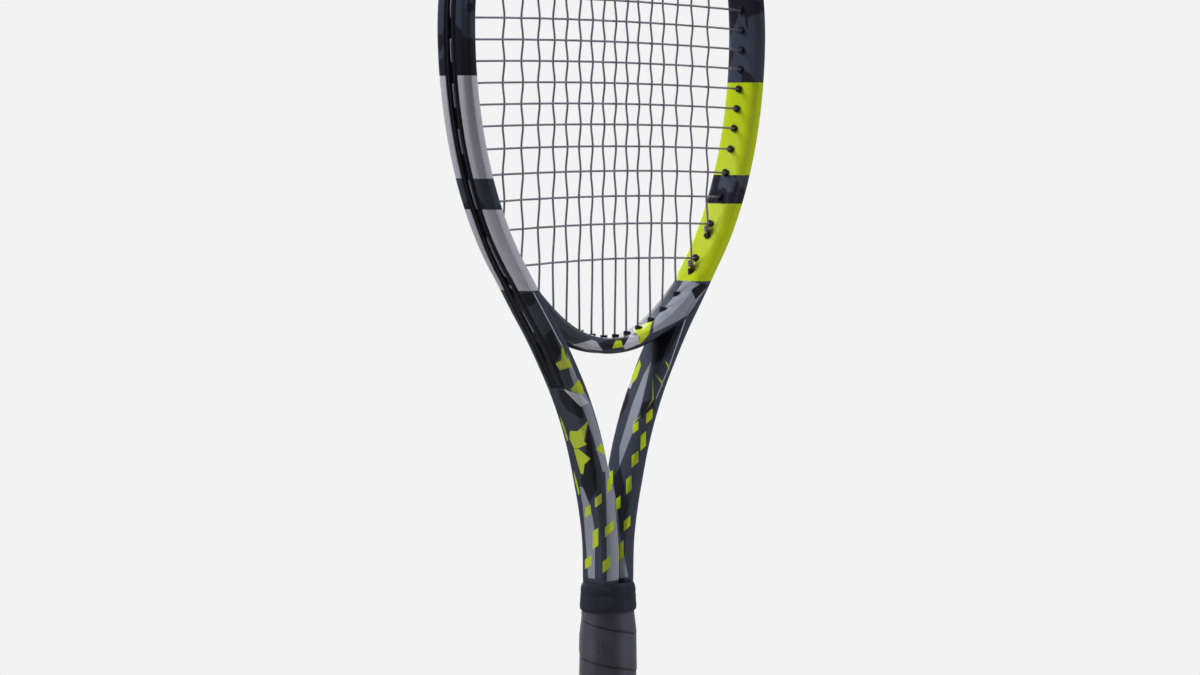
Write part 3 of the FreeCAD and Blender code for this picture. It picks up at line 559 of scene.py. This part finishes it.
def build_bumper(material):
    """Guard over the tip, wrapped round the hoop, with a string channel and shallow scuff ribs."""
    line = [s for s in FULL_LINE if s[1] > BUMPER_START]
    fine = []
    for a, b in zip(line, line[1:]):
        fine += [a, tuple((p + q) / 2 for p, q in zip(a, b))]
    fine.append(line[-1])
    rings = []
    for i, station in enumerate(fine):
        outer = between(TUBE, station[1], 2)
        end = ease(min(i, len(fine) - 1 - i) / 5)
        rib = 0.22 if i % 4 < 2 else 0.0
        proud = (2.3 - rib) * end + 0.15
        brow = 0.9 * end + 0.1
        half = [(outer - 1.85, 0.0), (outer - 1.85, 1.55), (outer + proud - 0.5, 1.7), (outer + proud, 2.1),
                (outer + proud, 4.4), (outer + proud - 0.45, 5.3), (outer + brow, 8.0), (outer + brow - 0.6, 8.7),
                (outer - 3.6, 9.6 * between(TUBE, station[1], 3) / 12.25 + 0.1), (outer - 4.2, 9.2), (outer - 4.2, 0.0)]
        rings.append(place_section(station, both_faces(half)))
    return piece("tip_bumper", [skin(rings)], material, "racket", ["bumper_guard"], 25)


# ---------------------------------------------------------------- string holes
RAIL_LINE = [s for s in HALF_LINE if s[1] > GROOVE_START - 20]


def rail(kind):
    result = []
    for x, z, nx, nz in RAIL_LINE:
        offset = {"wall": -between(TUBE, z, 1), "string": between(TUBE, z, 2) - GROOVE_DEPTH + STRING_LIFT}[kind]
        result.append((x + nx * offset, z + nz * offset, nx, nz))
    return result


RAILS = {kind: rail(kind) for kind in ("wall", "string")}


def wall_at(axis, value):
    """Inner wall point, with its outward direction, where the wall reaches a width (axis 0) or a height (axis 1)."""
    line = RAILS["wall"] if axis else RAILS["wall"][::-1]
    for a, b in zip(line, line[1:]):
        if (a[axis] - value) * (b[axis] - value) <= 0 and a[axis] != b[axis]:
            share = (value - a[axis]) / (b[axis] - a[axis])
            return tuple(p + (q - p) * share for p, q in zip(a, b))
    raise ValueError("no wall there")


def leave(start, heading, kind):
    """Where a line from the wall meets a rail: the point and its place along the rail."""
    best = None
    line = RAILS[kind]
    for i, (a, b) in enumerate(zip(line, line[1:])):
        ex, ez = b[0] - a[0], b[1] - a[1]
        cross = heading[0] * ez - heading[1] * ex
        if abs(cross) < 1e-9:
            continue
        gx, gz = a[0] - start[0], a[1] - start[1]
        reach = (gx * ez - gz * ex) / cross
        share = (gx * heading[1] - gz * heading[0]) / cross
        if reach > 3 and -0.001 <= share <= 1.001 and (best is None or reach < best[0]):
            best = (reach, i + share)
    if best is None:
        raise ValueError("line misses the hoop")
    reach, place = best
    return (start[0] + heading[0] * reach, start[1] + heading[1] * reach), place


def bridge_height(x, offset):
    return HEAD_Z - (HEAD_LOW + offset) * math.sqrt(1 - (x / (HEAD_X + offset)) ** 2)


def leaned(normal, heading, lean):
    x, z = (normal[k] * lean + heading[k] * (1 - lean) for k in (0, 1))
    size = math.hypot(x, z)
    return x / size, z / size


def main_hole(index, top):
    x = MAIN_X[index]
    if top:
        wall = wall_at(0, x)
        return wall[:2], leaned(wall[2:], (0, 1), HOLE_LEAN)
    start = (x, bridge_height(x, -BRIDGE_HALF))
    if index < BRIDGE_MAINS:
        low = x * THROAT_FAN
        end = (low, bridge_height(low, BRIDGE_HALF))
        size = math.dist(start, end)
        return start, ((end[0] - start[0]) / size, (end[1] - start[1]) / size)
    if index == BRIDGE_MAINS:
        return start, (0.0, -1.0)
    low_wall = [w for w in RAILS["wall"] if w[1] < HEAD_Z]
    for a, b in zip(low_wall, low_wall[1:]):
        if a[0] <= x <= b[0]:
            share = (x - a[0]) / (b[0] - a[0])
            wall = tuple(p + (q - p) * share for p, q in zip(a, b))
            lean = 0.0 if index in (5, 6) else HOLE_LEAN
            return wall[:2], leaned(wall[2:], (0, -1), lean)
    raise ValueError("no wall under main %d" % index)


def main_exit(index, top, kind):
    start, heading = main_hole(index, top)
    if top or index >= BRIDGE_MAINS:
        return leave(start, heading, kind)
    low = start[0] * THROAT_FAN
    return (low, bridge_height(low, BRIDGE_HALF - (1.15 if kind == "string" else 2.3))), None


def cross_hole(index):
    wall = wall_at(1, CROSS_Z[index])
    return wall[:2], leaned(wall[2:], (1, 0), HOLE_LEAN)


def hole_ends(group):
    """Barrel axes of one group on the right half, from inside the hoop outwards, as (x, y, z) pairs."""
    pairs = []
    for index in range(len(MAIN_X)):
        for top in (True, False):
            name = "bumper" if top else ("bridge" if index < BRIDGE_MAINS else "side")
            if name == group:
                start, heading = main_hole(index, top)
                pairs.append((start, heading, 0.66))
    for index in range(len(CROSS_Z)):
        start, heading = cross_hole(index)
        if ("bumper" if start[1] > BUMPER_START else "side") == group:
            pairs.append((start, heading, -0.66))
    return [((s[0] + h[0] * 5, -y, s[1] + h[1] * 5), (s[0] - h[0] * 1.4, -y, s[1] - h[1] * 1.4))
            for s, h, y in pairs]


# ---------------------------------------------------------------- strings
BOW = 2.0   # how far the crosses are pushed up in the middle, mm


def cross_height(index, x):
    reach = cross_hole(index)[0][0]
    return CROSS_Z[index] + BOW * max(0.0, 1 - (x / reach) ** 2)


def weave(first, last, crossings, axis):
    """Points from first to last that rise and fall by one string radius at each (place, side) crossing."""
    marks = [(first[axis], 0.0)] + crossings + [(last[axis], 0.0)]
    points = []
    for (a, ya), (b, yb) in zip(marks, marks[1:]):
        for k in range(6):
            share = k / 6
            place = a + (b - a) * share
            y = ya + (yb - ya) * (0.5 - 0.5 * math.cos(math.pi * share))
            points.append((place, y))
    points.append(marks[-1])
    return points


def along_rail(start, end):
    """Points on the string rail between two places along it."""
    line = RAILS["string"]
    low, high = min(start, end), max(start, end)
    inner = [line[i][:2] for i in range(math.ceil(low + 0.3), math.floor(high - 0.3) + 1)]
    return inner if start < end else inner[::-1]


def main_run(index, lift):
    """One main of the right half, from its exit in the bridge or shoulder up to its exit at the tip."""
    foot, top = main_hole(index, False)[0], main_hole(index, True)[0]
    crossings = []
    for j in range(len(CROSS_Z)):
        if MAIN_X[index] < cross_hole(j)[0][0] - 0.5:
            z = cross_height(j, MAIN_X[index])
            if foot[1] + 2 < z < top[1] - 2:
                crossings.append((z, lift * (1 if (index + j) % 2 else -1)))
    woven = weave((0, foot[1]), (0, top[1]), crossings, 1)
    return [(MAIN_X[index], y, z) for z, y in woven]


def main_path(lift):
    """The whole main string of the right half, from under the middle of the bridge to its tie-off."""
    path = []
    for index in range(len(MAIN_X)):
        low, low_place = main_exit(index, False, "string")
        high, high_place = main_exit(index, True, "string")
        run = [(low[0], 0.0, low[1])] + main_run(index, lift) + [(high[0], 0.0, high[1])]
        places = (low_place, high_place)
        if index % 2:
            run, places = run[::-1], places[::-1]
        if path and places[0] is not None and last_place is not None:
            path += [(x, 0.0, z) for x, z in along_rail(last_place, places[0])]
        path += run
        last_place = places[1]
    return path


def cross_path(lift):
    path = []
    side = -1
    last_place = None
    for index in range(len(CROSS_Z) - 1, -1, -1):
        wall, heading = cross_hole(index)
        out, place = leave(wall, heading, "string")
        crossings = []
        for sign in (-1, 1):
            for k in range(len(MAIN_X)):
                if MAIN_X[k] < wall[0] - 0.5:
                    crossings.append((sign * MAIN_X[k], (k + index) % 2, sign))
        crossings.sort()
        marks = [(x, lift * (-1 if odd else 1) * (1 if s > 0 else -1 if len(MAIN_X) % 2 else 1)) for x, odd, s in crossings]
        run = [(x, y, cross_height(index, x)) for x, y in weave((-wall[0],), (wall[0],), marks, 0)]
        run = [(-out[0], 0.0, out[1])] + run + [(out[0], 0.0, out[1])]
        if last_place is not None:
            path += [(side * x, 0.0, z) for x, z in along_rail(last_place, place)]
        path += run if side < 0 else run[::-1]
        last_place = place
        side = -side
    return path


def knot_path(x, y, z, step, radius):
    """Two and a half turns round a standing string."""
    return [(x + radius * math.cos(a * math.tau / 12), y + radius * math.sin(a * math.tau / 12), z + step * a / 12)
            for a in range(31)]


def path_object(name, paths):
    """Open lines, in mm, as an object with edges only."""
    points, edges = [], []
    for path in paths:
        start = len(points)
        points += [tuple(c * MM for c in p) for p in path]
        edges += [(i, i + 1) for i in range(start, len(points) - 1)]
    mesh = bpy.data.meshes.new(name)
    mesh.from_pydata(points, edges, [])
    obj = bpy.data.objects.new(name, mesh)
    bpy.context.scene.collection.objects.link(obj)
    return obj


def round_tree():
    """Geometry Nodes: a round section along every line, drawn in towards the last point."""
    tree = bpy.data.node_groups.new("round section along lines", "GeometryNodeTree")
    tree.interface.new_socket("Geometry", in_out="INPUT", socket_type="NodeSocketGeometry")
    tree.interface.new_socket("Diameter", in_out="INPUT", socket_type="NodeSocketFloat")
    tree.interface.new_socket("Sides", in_out="INPUT", socket_type="NodeSocketInt")
    tree.interface.new_socket("End Diameter", in_out="INPUT", socket_type="NodeSocketFloat")
    tree.interface.new_socket("Material", in_out="INPUT", socket_type="NodeSocketMaterial")
    tree.interface.new_socket("Geometry", in_out="OUTPUT", socket_type="NodeSocketGeometry")
    given = add(tree, "NodeGroupInput").outputs
    lines = add(tree, "GeometryNodeMeshToCurve", {0: given["Geometry"]}).outputs[0]
    share = add(tree, "GeometryNodeSplineParameter").outputs["Factor"]
    end = add(tree, "ShaderNodeMath", {0: given["End Diameter"], 1: given["Diameter"]}, operation="DIVIDE").outputs[0]
    width = add(tree, "ShaderNodeMapRange", {0: share, 1: 0.82, 2: 1.0, 3: 1.0, 4: end}).outputs[0]
    lines = add(tree, "GeometryNodeSetCurveRadius", {"Curve": lines, "Radius": width}).outputs[0]
    radius = add(tree, "ShaderNodeMath", {0: given["Diameter"], 1: 0.5}, operation="MULTIPLY").outputs[0]
    ring = add(tree, "GeometryNodeCurvePrimitiveCircle", {"Resolution": given["Sides"], "Radius": radius}).outputs[0]
    tube = add(tree, "GeometryNodeCurveToMesh", {0: lines, 1: ring, "Fill Caps": True}).outputs[0]
    tube = add(tree, "GeometryNodeSetShadeSmooth", {"Geometry": tube}).outputs[0]
    tube = add(tree, "GeometryNodeRealizeInstances", {0: tube}).outputs[0]
    tube = add(tree, "GeometryNodeSetMaterial", {"Geometry": tube, "Material": given["Material"]}).outputs[0]
    add(tree, "NodeGroupOutput", {"Geometry": tube})
    return tree


def run_tree(obj, tree, material, **values):
    """Runs a node tree on an object once and keeps the plain mesh."""
    modifier = obj.modifiers.new(tree.name, "NODES")
    modifier.node_group = tree
    values["Material"] = material
    for item in tree.interface.items_tree:
        if item.item_type == "SOCKET" and item.in_out == "INPUT" and item.name in values:
            modifier[item.identifier] = values[item.name]
    graph = bpy.context.evaluated_depsgraph_get()
    mesh = bpy.data.meshes.new_from_object(obj.evaluated_get(graph))
    obj.modifiers.remove(modifier)
    mesh.name = obj.name
    obj.data = mesh
    if not len(mesh.materials):
        mesh.materials.append(material)
    return obj


def mirror_path(path):
    return [(-x, y, z) for x, y, z in path]


# ---------------------------------------------------------------- grip and collar
def octagon(wide, deep, z, steps, corner):
    """Handle outline: an eight-sided section with rounded corners, steps points to a side."""
    a, b = wide / 2, deep / 2
    leg = 0.2794 * (a + b)
    ca, cb = a - leg, b - leg
    ring = [(a, -cb), (a, cb), (ca, b), (-ca, b), (-a, cb), (-a, -cb), (-ca, -b), (ca, -b)]
    points = []
    for i in range(8):
        p, q = Vector(ring[i]), Vector(ring[(i + 1) % 8])
        before, after = Vector(ring[i - 1]), Vector(ring[(i + 2) % 8])
        side = (q - p).normalized()
        start, finish = p + side * corner, q - side * corner
        for k in range(steps):
            points.append(tuple(start.lerp(finish, k / (steps - 1))) + (z,))
        onward = (after - q).normalized()
        bend = q + onward * corner
        points.append(tuple(finish.lerp(q, 0.5).lerp(q.lerp(bend, 0.5), 0.5)) + (z,))
    return points


WRAP = [(3.4, 41.2, 38.2), (6.0, 40.9, 37.9), (27.0, 37.6, 34.6), (43.0, 35.5, 32.5), (160.0, 35.5, 32.5),
        (177.0, 32.1, 29.1), (183.5, 31.5, 28.5)]


def build_wrap(material, pitch, step):
    """Grip tape wound upwards, each turn lying over the last one's upper edge."""
    rings = []
    count = 300
    for row in range(count + 1):
        z = 3.4 + (183.5 - 3.4) * row / count
        ring = octagon(between(WRAP, z, 1), between(WRAP, z, 2), z, 5, 3.0)
        shaped = []
        for x, y, height in ring:
            along = (height / pitch + math.atan2(y, x) / math.tau) % 1.0
            lift = step * (1 - along) * ease(along / 0.045) - 0.35 * step
            lift -= 0.5 * step * math.exp(-((min(along, 1 - along)) / 0.02) ** 2)
            ends = ease((z - 3.4) / 1.2) * ease((183.5 - z) / 1.2)
            lift = lift * ends - 0.7 * (1 - ends)
            size = math.hypot(x, y)
            shaped.append((x * (1 + lift / size), y * (1 + lift / size), height))
        rings.append(shaped)
    return piece("grip_wrap_wound", [skin(rings)], material, "racket", ["grip_wrap"], 60)


# height, width, depth of the collar's outside, then of its bore
COLLAR = [(176.3, 33.6, 30.6), (176.0, 34.2, 31.2), (176.3, 34.9, 31.9), (177.4, 35.3, 32.3), (179.2, 35.3, 32.3),
          (181.0, 34.9, 31.9), (185.6, 34.5, 31.5), (186.2, 33.9, 30.9), (186.8, 34.4, 31.4), (188.6, 34.4, 31.1),
          (190.4, 34.0, 30.3), (191.9, 33.0, 29.0), (192.9, 31.7, 27.4), (193.4, 30.4, 25.8)]
BORE = [(193.2, 29.2, 24.5), (192.2, 28.8, 24.1), (186.0, 30.6, 27.0), (184.4, 32.0, 29.0), (176.6, 32.9, 29.9)]


def build_collar(material):
    """Rubber collar over the top of the grip: a plain skirt, two fine grooves and a lip rolled in to the shafts."""
    rings = [octagon(wide, deep, z, 5, 4.6) for z, wide, deep in COLLAR + BORE]
    size = len(rings[0])
    points = [p for ring in rings for p in ring]
    faces = []
    for row in range(len(rings)):
        after = (row + 1) % len(rings)
        for k in range(size):
            faces.append((row * size + k, row * size + (k + 1) % size, after * size + (k + 1) % size, after * size + k))
    return piece("grip_collar_rolled", [(points, faces)], material, "collar", ["grip_collar"], 50)


# ---------------------------------------------------------------- what a user may change
def colour_property(name, description, code):
    return FloatVectorProperty(name=name, description=description, default=srgb(code), subtype="COLOR",
                               size=4, min=0.0, max=1.0)


class RacketColours(bpy.types.PropertyGroup):
    night: colour_property("Night", "Darkest paint of the frame", "#100F1C")
    slate: colour_property("Slate", "Blue-grey paint of the frame", "#282D3A")
    stone: colour_property("Stone", "Mid grey paint of the throat", "#696C77")
    # also the colour of the painted highlight streaks along the shafts
    pale: colour_property("Pale grey", "Light grey bands of the left limb", "#918F98")
    lime: colour_property("Lime", "Lime bands and shards", "#8C9B00")
    strings: colour_property("Strings", "String colour", "#716C79")
    nylon: colour_property("Nylon", "Bumper and grommet strips", "#14141E")
    grip: colour_property("Grip", "Wound grip", "#2A2933")
    rubber: colour_property("Rubber", "Collar over the top of the grip", "#1B1C26")


class RacketSizes(bpy.types.PropertyGroup):
    string_diameter: FloatProperty(name="String diameter", description="Gauge of both strings",
                                   default=1.3 * MM, min=1.0 * MM, max=1.5 * MM, unit="LENGTH", precision=4)
    string_sides: IntProperty(name="String sides", description="Facets round a string", default=8, min=6, max=16)
    barrel_diameter: FloatProperty(name="Grommet diameter", description="Outside of one grommet barrel",
                                   default=4.5 * MM, min=3.0 * MM, max=5.0 * MM, unit="LENGTH", precision=4)
    wrap_pitch: FloatProperty(name="Wrap pitch", description="Height between turns of the grip",
                              default=22.5 * MM, min=15 * MM, max=30 * MM, unit="LENGTH", precision=4)
    wrap_step: FloatProperty(name="Wrap step", description="Rise at the edge of each turn of the grip",
                             default=0.4 * MM, min=0.0, max=1.5 * MM, unit="LENGTH", precision=4)


# ---------------------------------------------------------------- operators
class RACKET_OT_frame(bpy.types.Operator):
    """Builds the painted frame: hoop with shafts, and the yoke across the throat"""
    bl_idname = "racket.frame"
    bl_label = "Frame"

    def execute(self, context):
        paint = lacquered_graphite(context.scene.racket_colours)
        build_hoop(paint)
        build_bridge(paint)
        finish_node("bridge_core", plain_material("expanded polyurethane core", srgb("#C9BFA6"), 0.85, 0.0, 0.8, 0.2))
        return {"FINISHED"}


class RACKET_OT_guards(bpy.types.Operator):
    """Builds the bumper and the grommet strips with their barrels"""
    bl_idname = "racket.guards"
    bl_label = "Bumper and grommets"

    def execute(self, context):
        sizes, colours = context.scene.racket_sizes, context.scene.racket_colours
        strip = moulded_nylon("moulded nylon, fine grain", colours.nylon, 0.42, 0.6, 0.03)
        guard = moulded_nylon("moulded nylon, coarse grain", colours.nylon, 0.55, 1.0, 0.06)
        build_side_strip(1, strip)
        build_side_strip(-1, strip)
        throat = build_throat_strip(strip)
        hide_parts("throat_grommet_strip")
        build_bumper(guard)
        tree = round_tree()
        for group, material, slot in (("side", strip, "grommet_plastic"), ("bridge", strip, "grommet_plastic"),
                                      ("bumper", guard, "guard_plastic")):
            ends = hole_ends(group)
            rods = [list(pair) for pair in ends] + [mirror_path(pair) for pair in ends]
            obj = path_object("grommet_barrels_" + group, rods)
            subdivide_lines(obj, 5)
            run_tree(obj, tree, material, **{"Diameter": sizes.barrel_diameter, "Sides": 14,
                                             "End Diameter": sizes.barrel_diameter * 0.7})
            settle(obj, "racket", [])
        return {"FINISHED"}


def subdivide_lines(obj, parts):
    """Cuts each single edge into equal parts so that the section can change along it."""
    mesh = obj.data
    points, edges = [], []
    for edge in mesh.edges:
        a, b = (mesh.vertices[i].co for i in edge.vertices)
        start = len(points)
        points += [tuple(a.lerp(b, k / parts)) for k in range(parts + 1)]
        edges += [(start + k, start + k + 1) for k in range(parts)]
    mesh.clear_geometry()
    mesh.from_pydata(points, edges, [])


class RACKET_OT_strings(bpy.types.Operator):
    """Builds both strings, woven over and under each other and looped round the outside of the hoop"""
    bl_idname = "racket.strings"
    bl_label = "Strings"

    def execute(self, context):
        sizes, colours = context.scene.racket_sizes, context.scene.racket_colours
        lift = sizes.string_diameter / MM / 2 + 0.02
        material = polyester_string("extruded co-polyester string", colours.strings)
        tree = round_tree()
        right = main_path(lift)
        left = [(-x, -y, z) for x, y, z in right]
        tie = MAIN_X[6]
        turn = 2 * lift
        foot = main_hole(6, False)[0][1]
        knots = [knot_path(s * tie, 0.0, foot + 3.0, 1.15, turn) for s in (1, -1)]
        main_runs = [left[::-1] + right] + knots
        head, low = main_hole(6, True)[0], main_hole(7, False)[0]
        cross_runs = [cross_path(lift), knot_path(-head[0], 0.0, head[1] - 6.5, 1.15, turn),
                      knot_path(low[0], 0.0, low[1] + 3.0, 1.15, turn)]
        for name, runs, node, slot in (("main_string_woven", main_runs, "main_string", "string_mains"),
                                       ("cross_string_woven", cross_runs, "cross_string", "string_crosses")):
            obj = path_object(name, runs)
            run_tree(obj, tree, material, **{"Diameter": sizes.string_diameter, "Sides": sizes.string_sides,
                                             "End Diameter": sizes.string_diameter})
            settle(obj, "racket", [node])
        return {"FINISHED"}


class RACKET_OT_handle(bpy.types.Operator):
    """Builds the wound grip and the collar, and finishes the parts of the butt"""
    bl_idname = "racket.handle"
    bl_label = "Grip, collar and butt"

    def execute(self, context):
        sizes, colours = context.scene.racket_sizes, context.scene.racket_colours
        pitch = sizes.wrap_pitch / MM
        build_wrap(wrapped_polyurethane(colours.grip, pitch), pitch, sizes.wrap_step / MM)
        build_collar(moulded_nylon("moulded rubber, satin", colours.rubber, 0.46, 0.9, 0.04))
        butt = moulded_nylon("moulded polypropylene", srgb("#1B1B20"), 0.4, 0.7, 0.05)
        finish_node("butt_cap", butt)
        finish_node("butt_door", butt)
        finish_node("finishing_tape", plain_material("vinyl tape", srgb("#1D1D22"), 0.35, 0.0, 0.3, 0.05))
        foam = plain_material("cast polyurethane foam", srgb("#8B8478"), 0.8, 0.0, 0.9, 0.2)
        for name in ("handle_pallet", "handle_plug_left", "handle_plug_right"):
            finish_node(name, foam)
        steel = plain_material("drawn steel wire", srgb("#B9BBC0"), 0.3, 1.0, 2.0, 0.01)
        for name in ("butt_staple_left", "butt_staple_right"):
            finish_node(name, steel)
        return {"FINISHED"}


def area_light(name, location, target, size, power, glossy=False):
    light = bpy.data.lights.new(name, "AREA")
    light.shape = "RECTANGLE"
    light.size, light.size_y = size
    light.energy = power
    obj = bpy.data.objects.new(name, light)
    obj.location = location
    obj.rotation_euler = (Vector(target) - Vector(location)).to_track_quat("-Z", "Y").to_euler()
    obj.visible_glossy = glossy
    bpy.context.scene.collection.objects.link(obj)
    return obj


CAMERA_PLACE = (-1.282, -1.154, 0.4635)
CAMERA_PAN, CAMERA_DIP, CAMERA_ROLL = -47.83, 4.055, 0.16     # degrees
CAMERA_LENS = 85.9
FLOOR_RADIUS, FLOOR_SIDES = 600, 96     # mm


class RACKET_OT_stage(bpy.types.Operator):
    """Sets the camera, the studio lights, the pale surround and the floor"""
    bl_idname = "racket.stage"
    bl_label = "Stage"

    def execute(self, context):
        scene = context.scene
        scene.view_settings.view_transform = "Standard"
        camera = bpy.data.cameras.new("camera")
        camera.lens = CAMERA_LENS
        camera.sensor_width = 36.0
        camera.clip_start, camera.clip_end = 0.05, 30.0
        obj = bpy.data.objects.new("camera", camera)
        scene.collection.objects.link(obj)
        turn = (Matrix.Rotation(math.radians(CAMERA_PAN), 4, "Z")
                @ Matrix.Rotation(math.radians(90 - CAMERA_DIP), 4, "X")
                @ Matrix.Rotation(math.radians(CAMERA_ROLL), 4, "Z"))
        obj.matrix_world = Matrix.Translation(CAMERA_PLACE) @ turn
        scene.camera = obj

        world = bpy.data.worlds.new("pale studio")
        scene.world = world
        world.use_nodes = True
        tree = world.node_tree
        tree.nodes.clear()
        seen = add(tree, "ShaderNodeLightPath").outputs["Is Camera Ray"]
        place = add(tree, "ShaderNodeTexCoord").outputs["Generated"]
        facing = add(tree, "ShaderNodeVectorMath", {0: place, 1: (-0.743, -0.669, 0.0)},
                     operation="DOT_PRODUCT").outputs["Value"]
        level = add(tree, "ShaderNodeMapRange", {0: facing, 1: -0.6, 2: 0.9, 3: 0.17, 4: 0.07}).outputs[0]
        plain = add(tree, "ShaderNodeBackground", {"Color": srgb("#F3F3F3"), "Strength": 1.0}).outputs[0]
        studio = add(tree, "ShaderNodeBackground", {"Color": (1.0, 1.0, 1.0, 1.0), "Strength": level}).outputs[0]
        mixed = add(tree, "ShaderNodeMixShader", {0: seen, 1: studio, 2: plain}).outputs[0]
        add(tree, "ShaderNodeOutputWorld", {0: mixed})

        # large soft lights from high on both sides; only the surround shows as gloss, and a strip on the chamfers
        area_light("left softbox", (-1.1, 1.45, 1.9), (0, 0, 0.42), (1.2, 1.2), 130)
        area_light("right softbox", (1.35, -1.0, 1.8), (0, 0, 0.42), (1.0, 1.0), 76)
        area_light("top softbox", (0.2, 0.2, 2.3), (0, 0, 0.4), (0.8, 0.8), 7)
        area_light("back softbox", (1.2, 1.6, 1.0), (0, 0, 0.42), (1.2, 1.6), 14, True)
        area_light("chamfer strip", (-1.9, -1.2, 1.5), (0, 0, 0.42), (0.25, 1.2), 5, True)

        angles = [math.tau * k / FLOOR_SIDES for k in range(FLOOR_SIDES)]
        floor_points = [(FLOOR_RADIUS * math.cos(a), FLOOR_RADIUS * math.sin(a), 0.0) for a in angles]
        mesh = bpy.data.meshes.new("floor")
        mesh.from_pydata([(x * MM, y * MM, z) for x, y, z in floor_points], [], [tuple(range(FLOOR_SIDES))])
        material, tree, shader, mm = surface("matt painted board")
        cloud = add(tree, "ShaderNodeTexNoise", {"Vector": mm, "Scale": 0.01, "Detail": 3.0}).outputs[0]
        tree.links.new(blend(tree, cloud, srgb("#E4E4E4"), srgb("#EEEEEE")), shader.inputs["Base Color"])
        shader.inputs["Roughness"].default_value = 0.8
        mesh.materials.append(material)
        floor = bpy.data.objects.new("floor", mesh)
        floor.visible_glossy = False
        scene.collection.objects.link(floor)
        return {"FINISHED"}


class RACKET_PT_panel(bpy.types.Panel):
    """Sizes, colours and build buttons of the racket"""
    bl_label = "Tennis racket"
    bl_idname = "RACKET_PT_panel"
    bl_space_type = "VIEW_3D"
    bl_region_type = "UI"
    bl_category = "Racket"

    def draw(self, context):
        for group in (context.scene.racket_sizes, context.scene.racket_colours):
            for name in group.__annotations__:
                self.layout.prop(group, name)
        for operator in OPERATORS:
            self.layout.operator(operator.bl_idname)


OPERATORS = [RACKET_OT_stage, RACKET_OT_frame, RACKET_OT_guards, RACKET_OT_strings, RACKET_OT_handle]
CLASSES = [RacketColours, RacketSizes] + OPERATORS + [RACKET_PT_panel]


def register():
    for item in CLASSES:
        bpy.utils.register_class(item)
    bpy.types.Scene.racket_colours = PointerProperty(type=RacketColours)
    bpy.types.Scene.racket_sizes = PointerProperty(type=RacketSizes)


def unregister():
    del bpy.types.Scene.racket_sizes
    del bpy.types.Scene.racket_colours
    for item in reversed(CLASSES):
        bpy.utils.unregister_class(item)


def main():
    register()
    for operator in (bpy.ops.racket.stage, bpy.ops.racket.frame, bpy.ops.racket.guards, bpy.ops.racket.strings,
                     bpy.ops.racket.handle):
        operator()


if __name__ == "__main__":
    main()
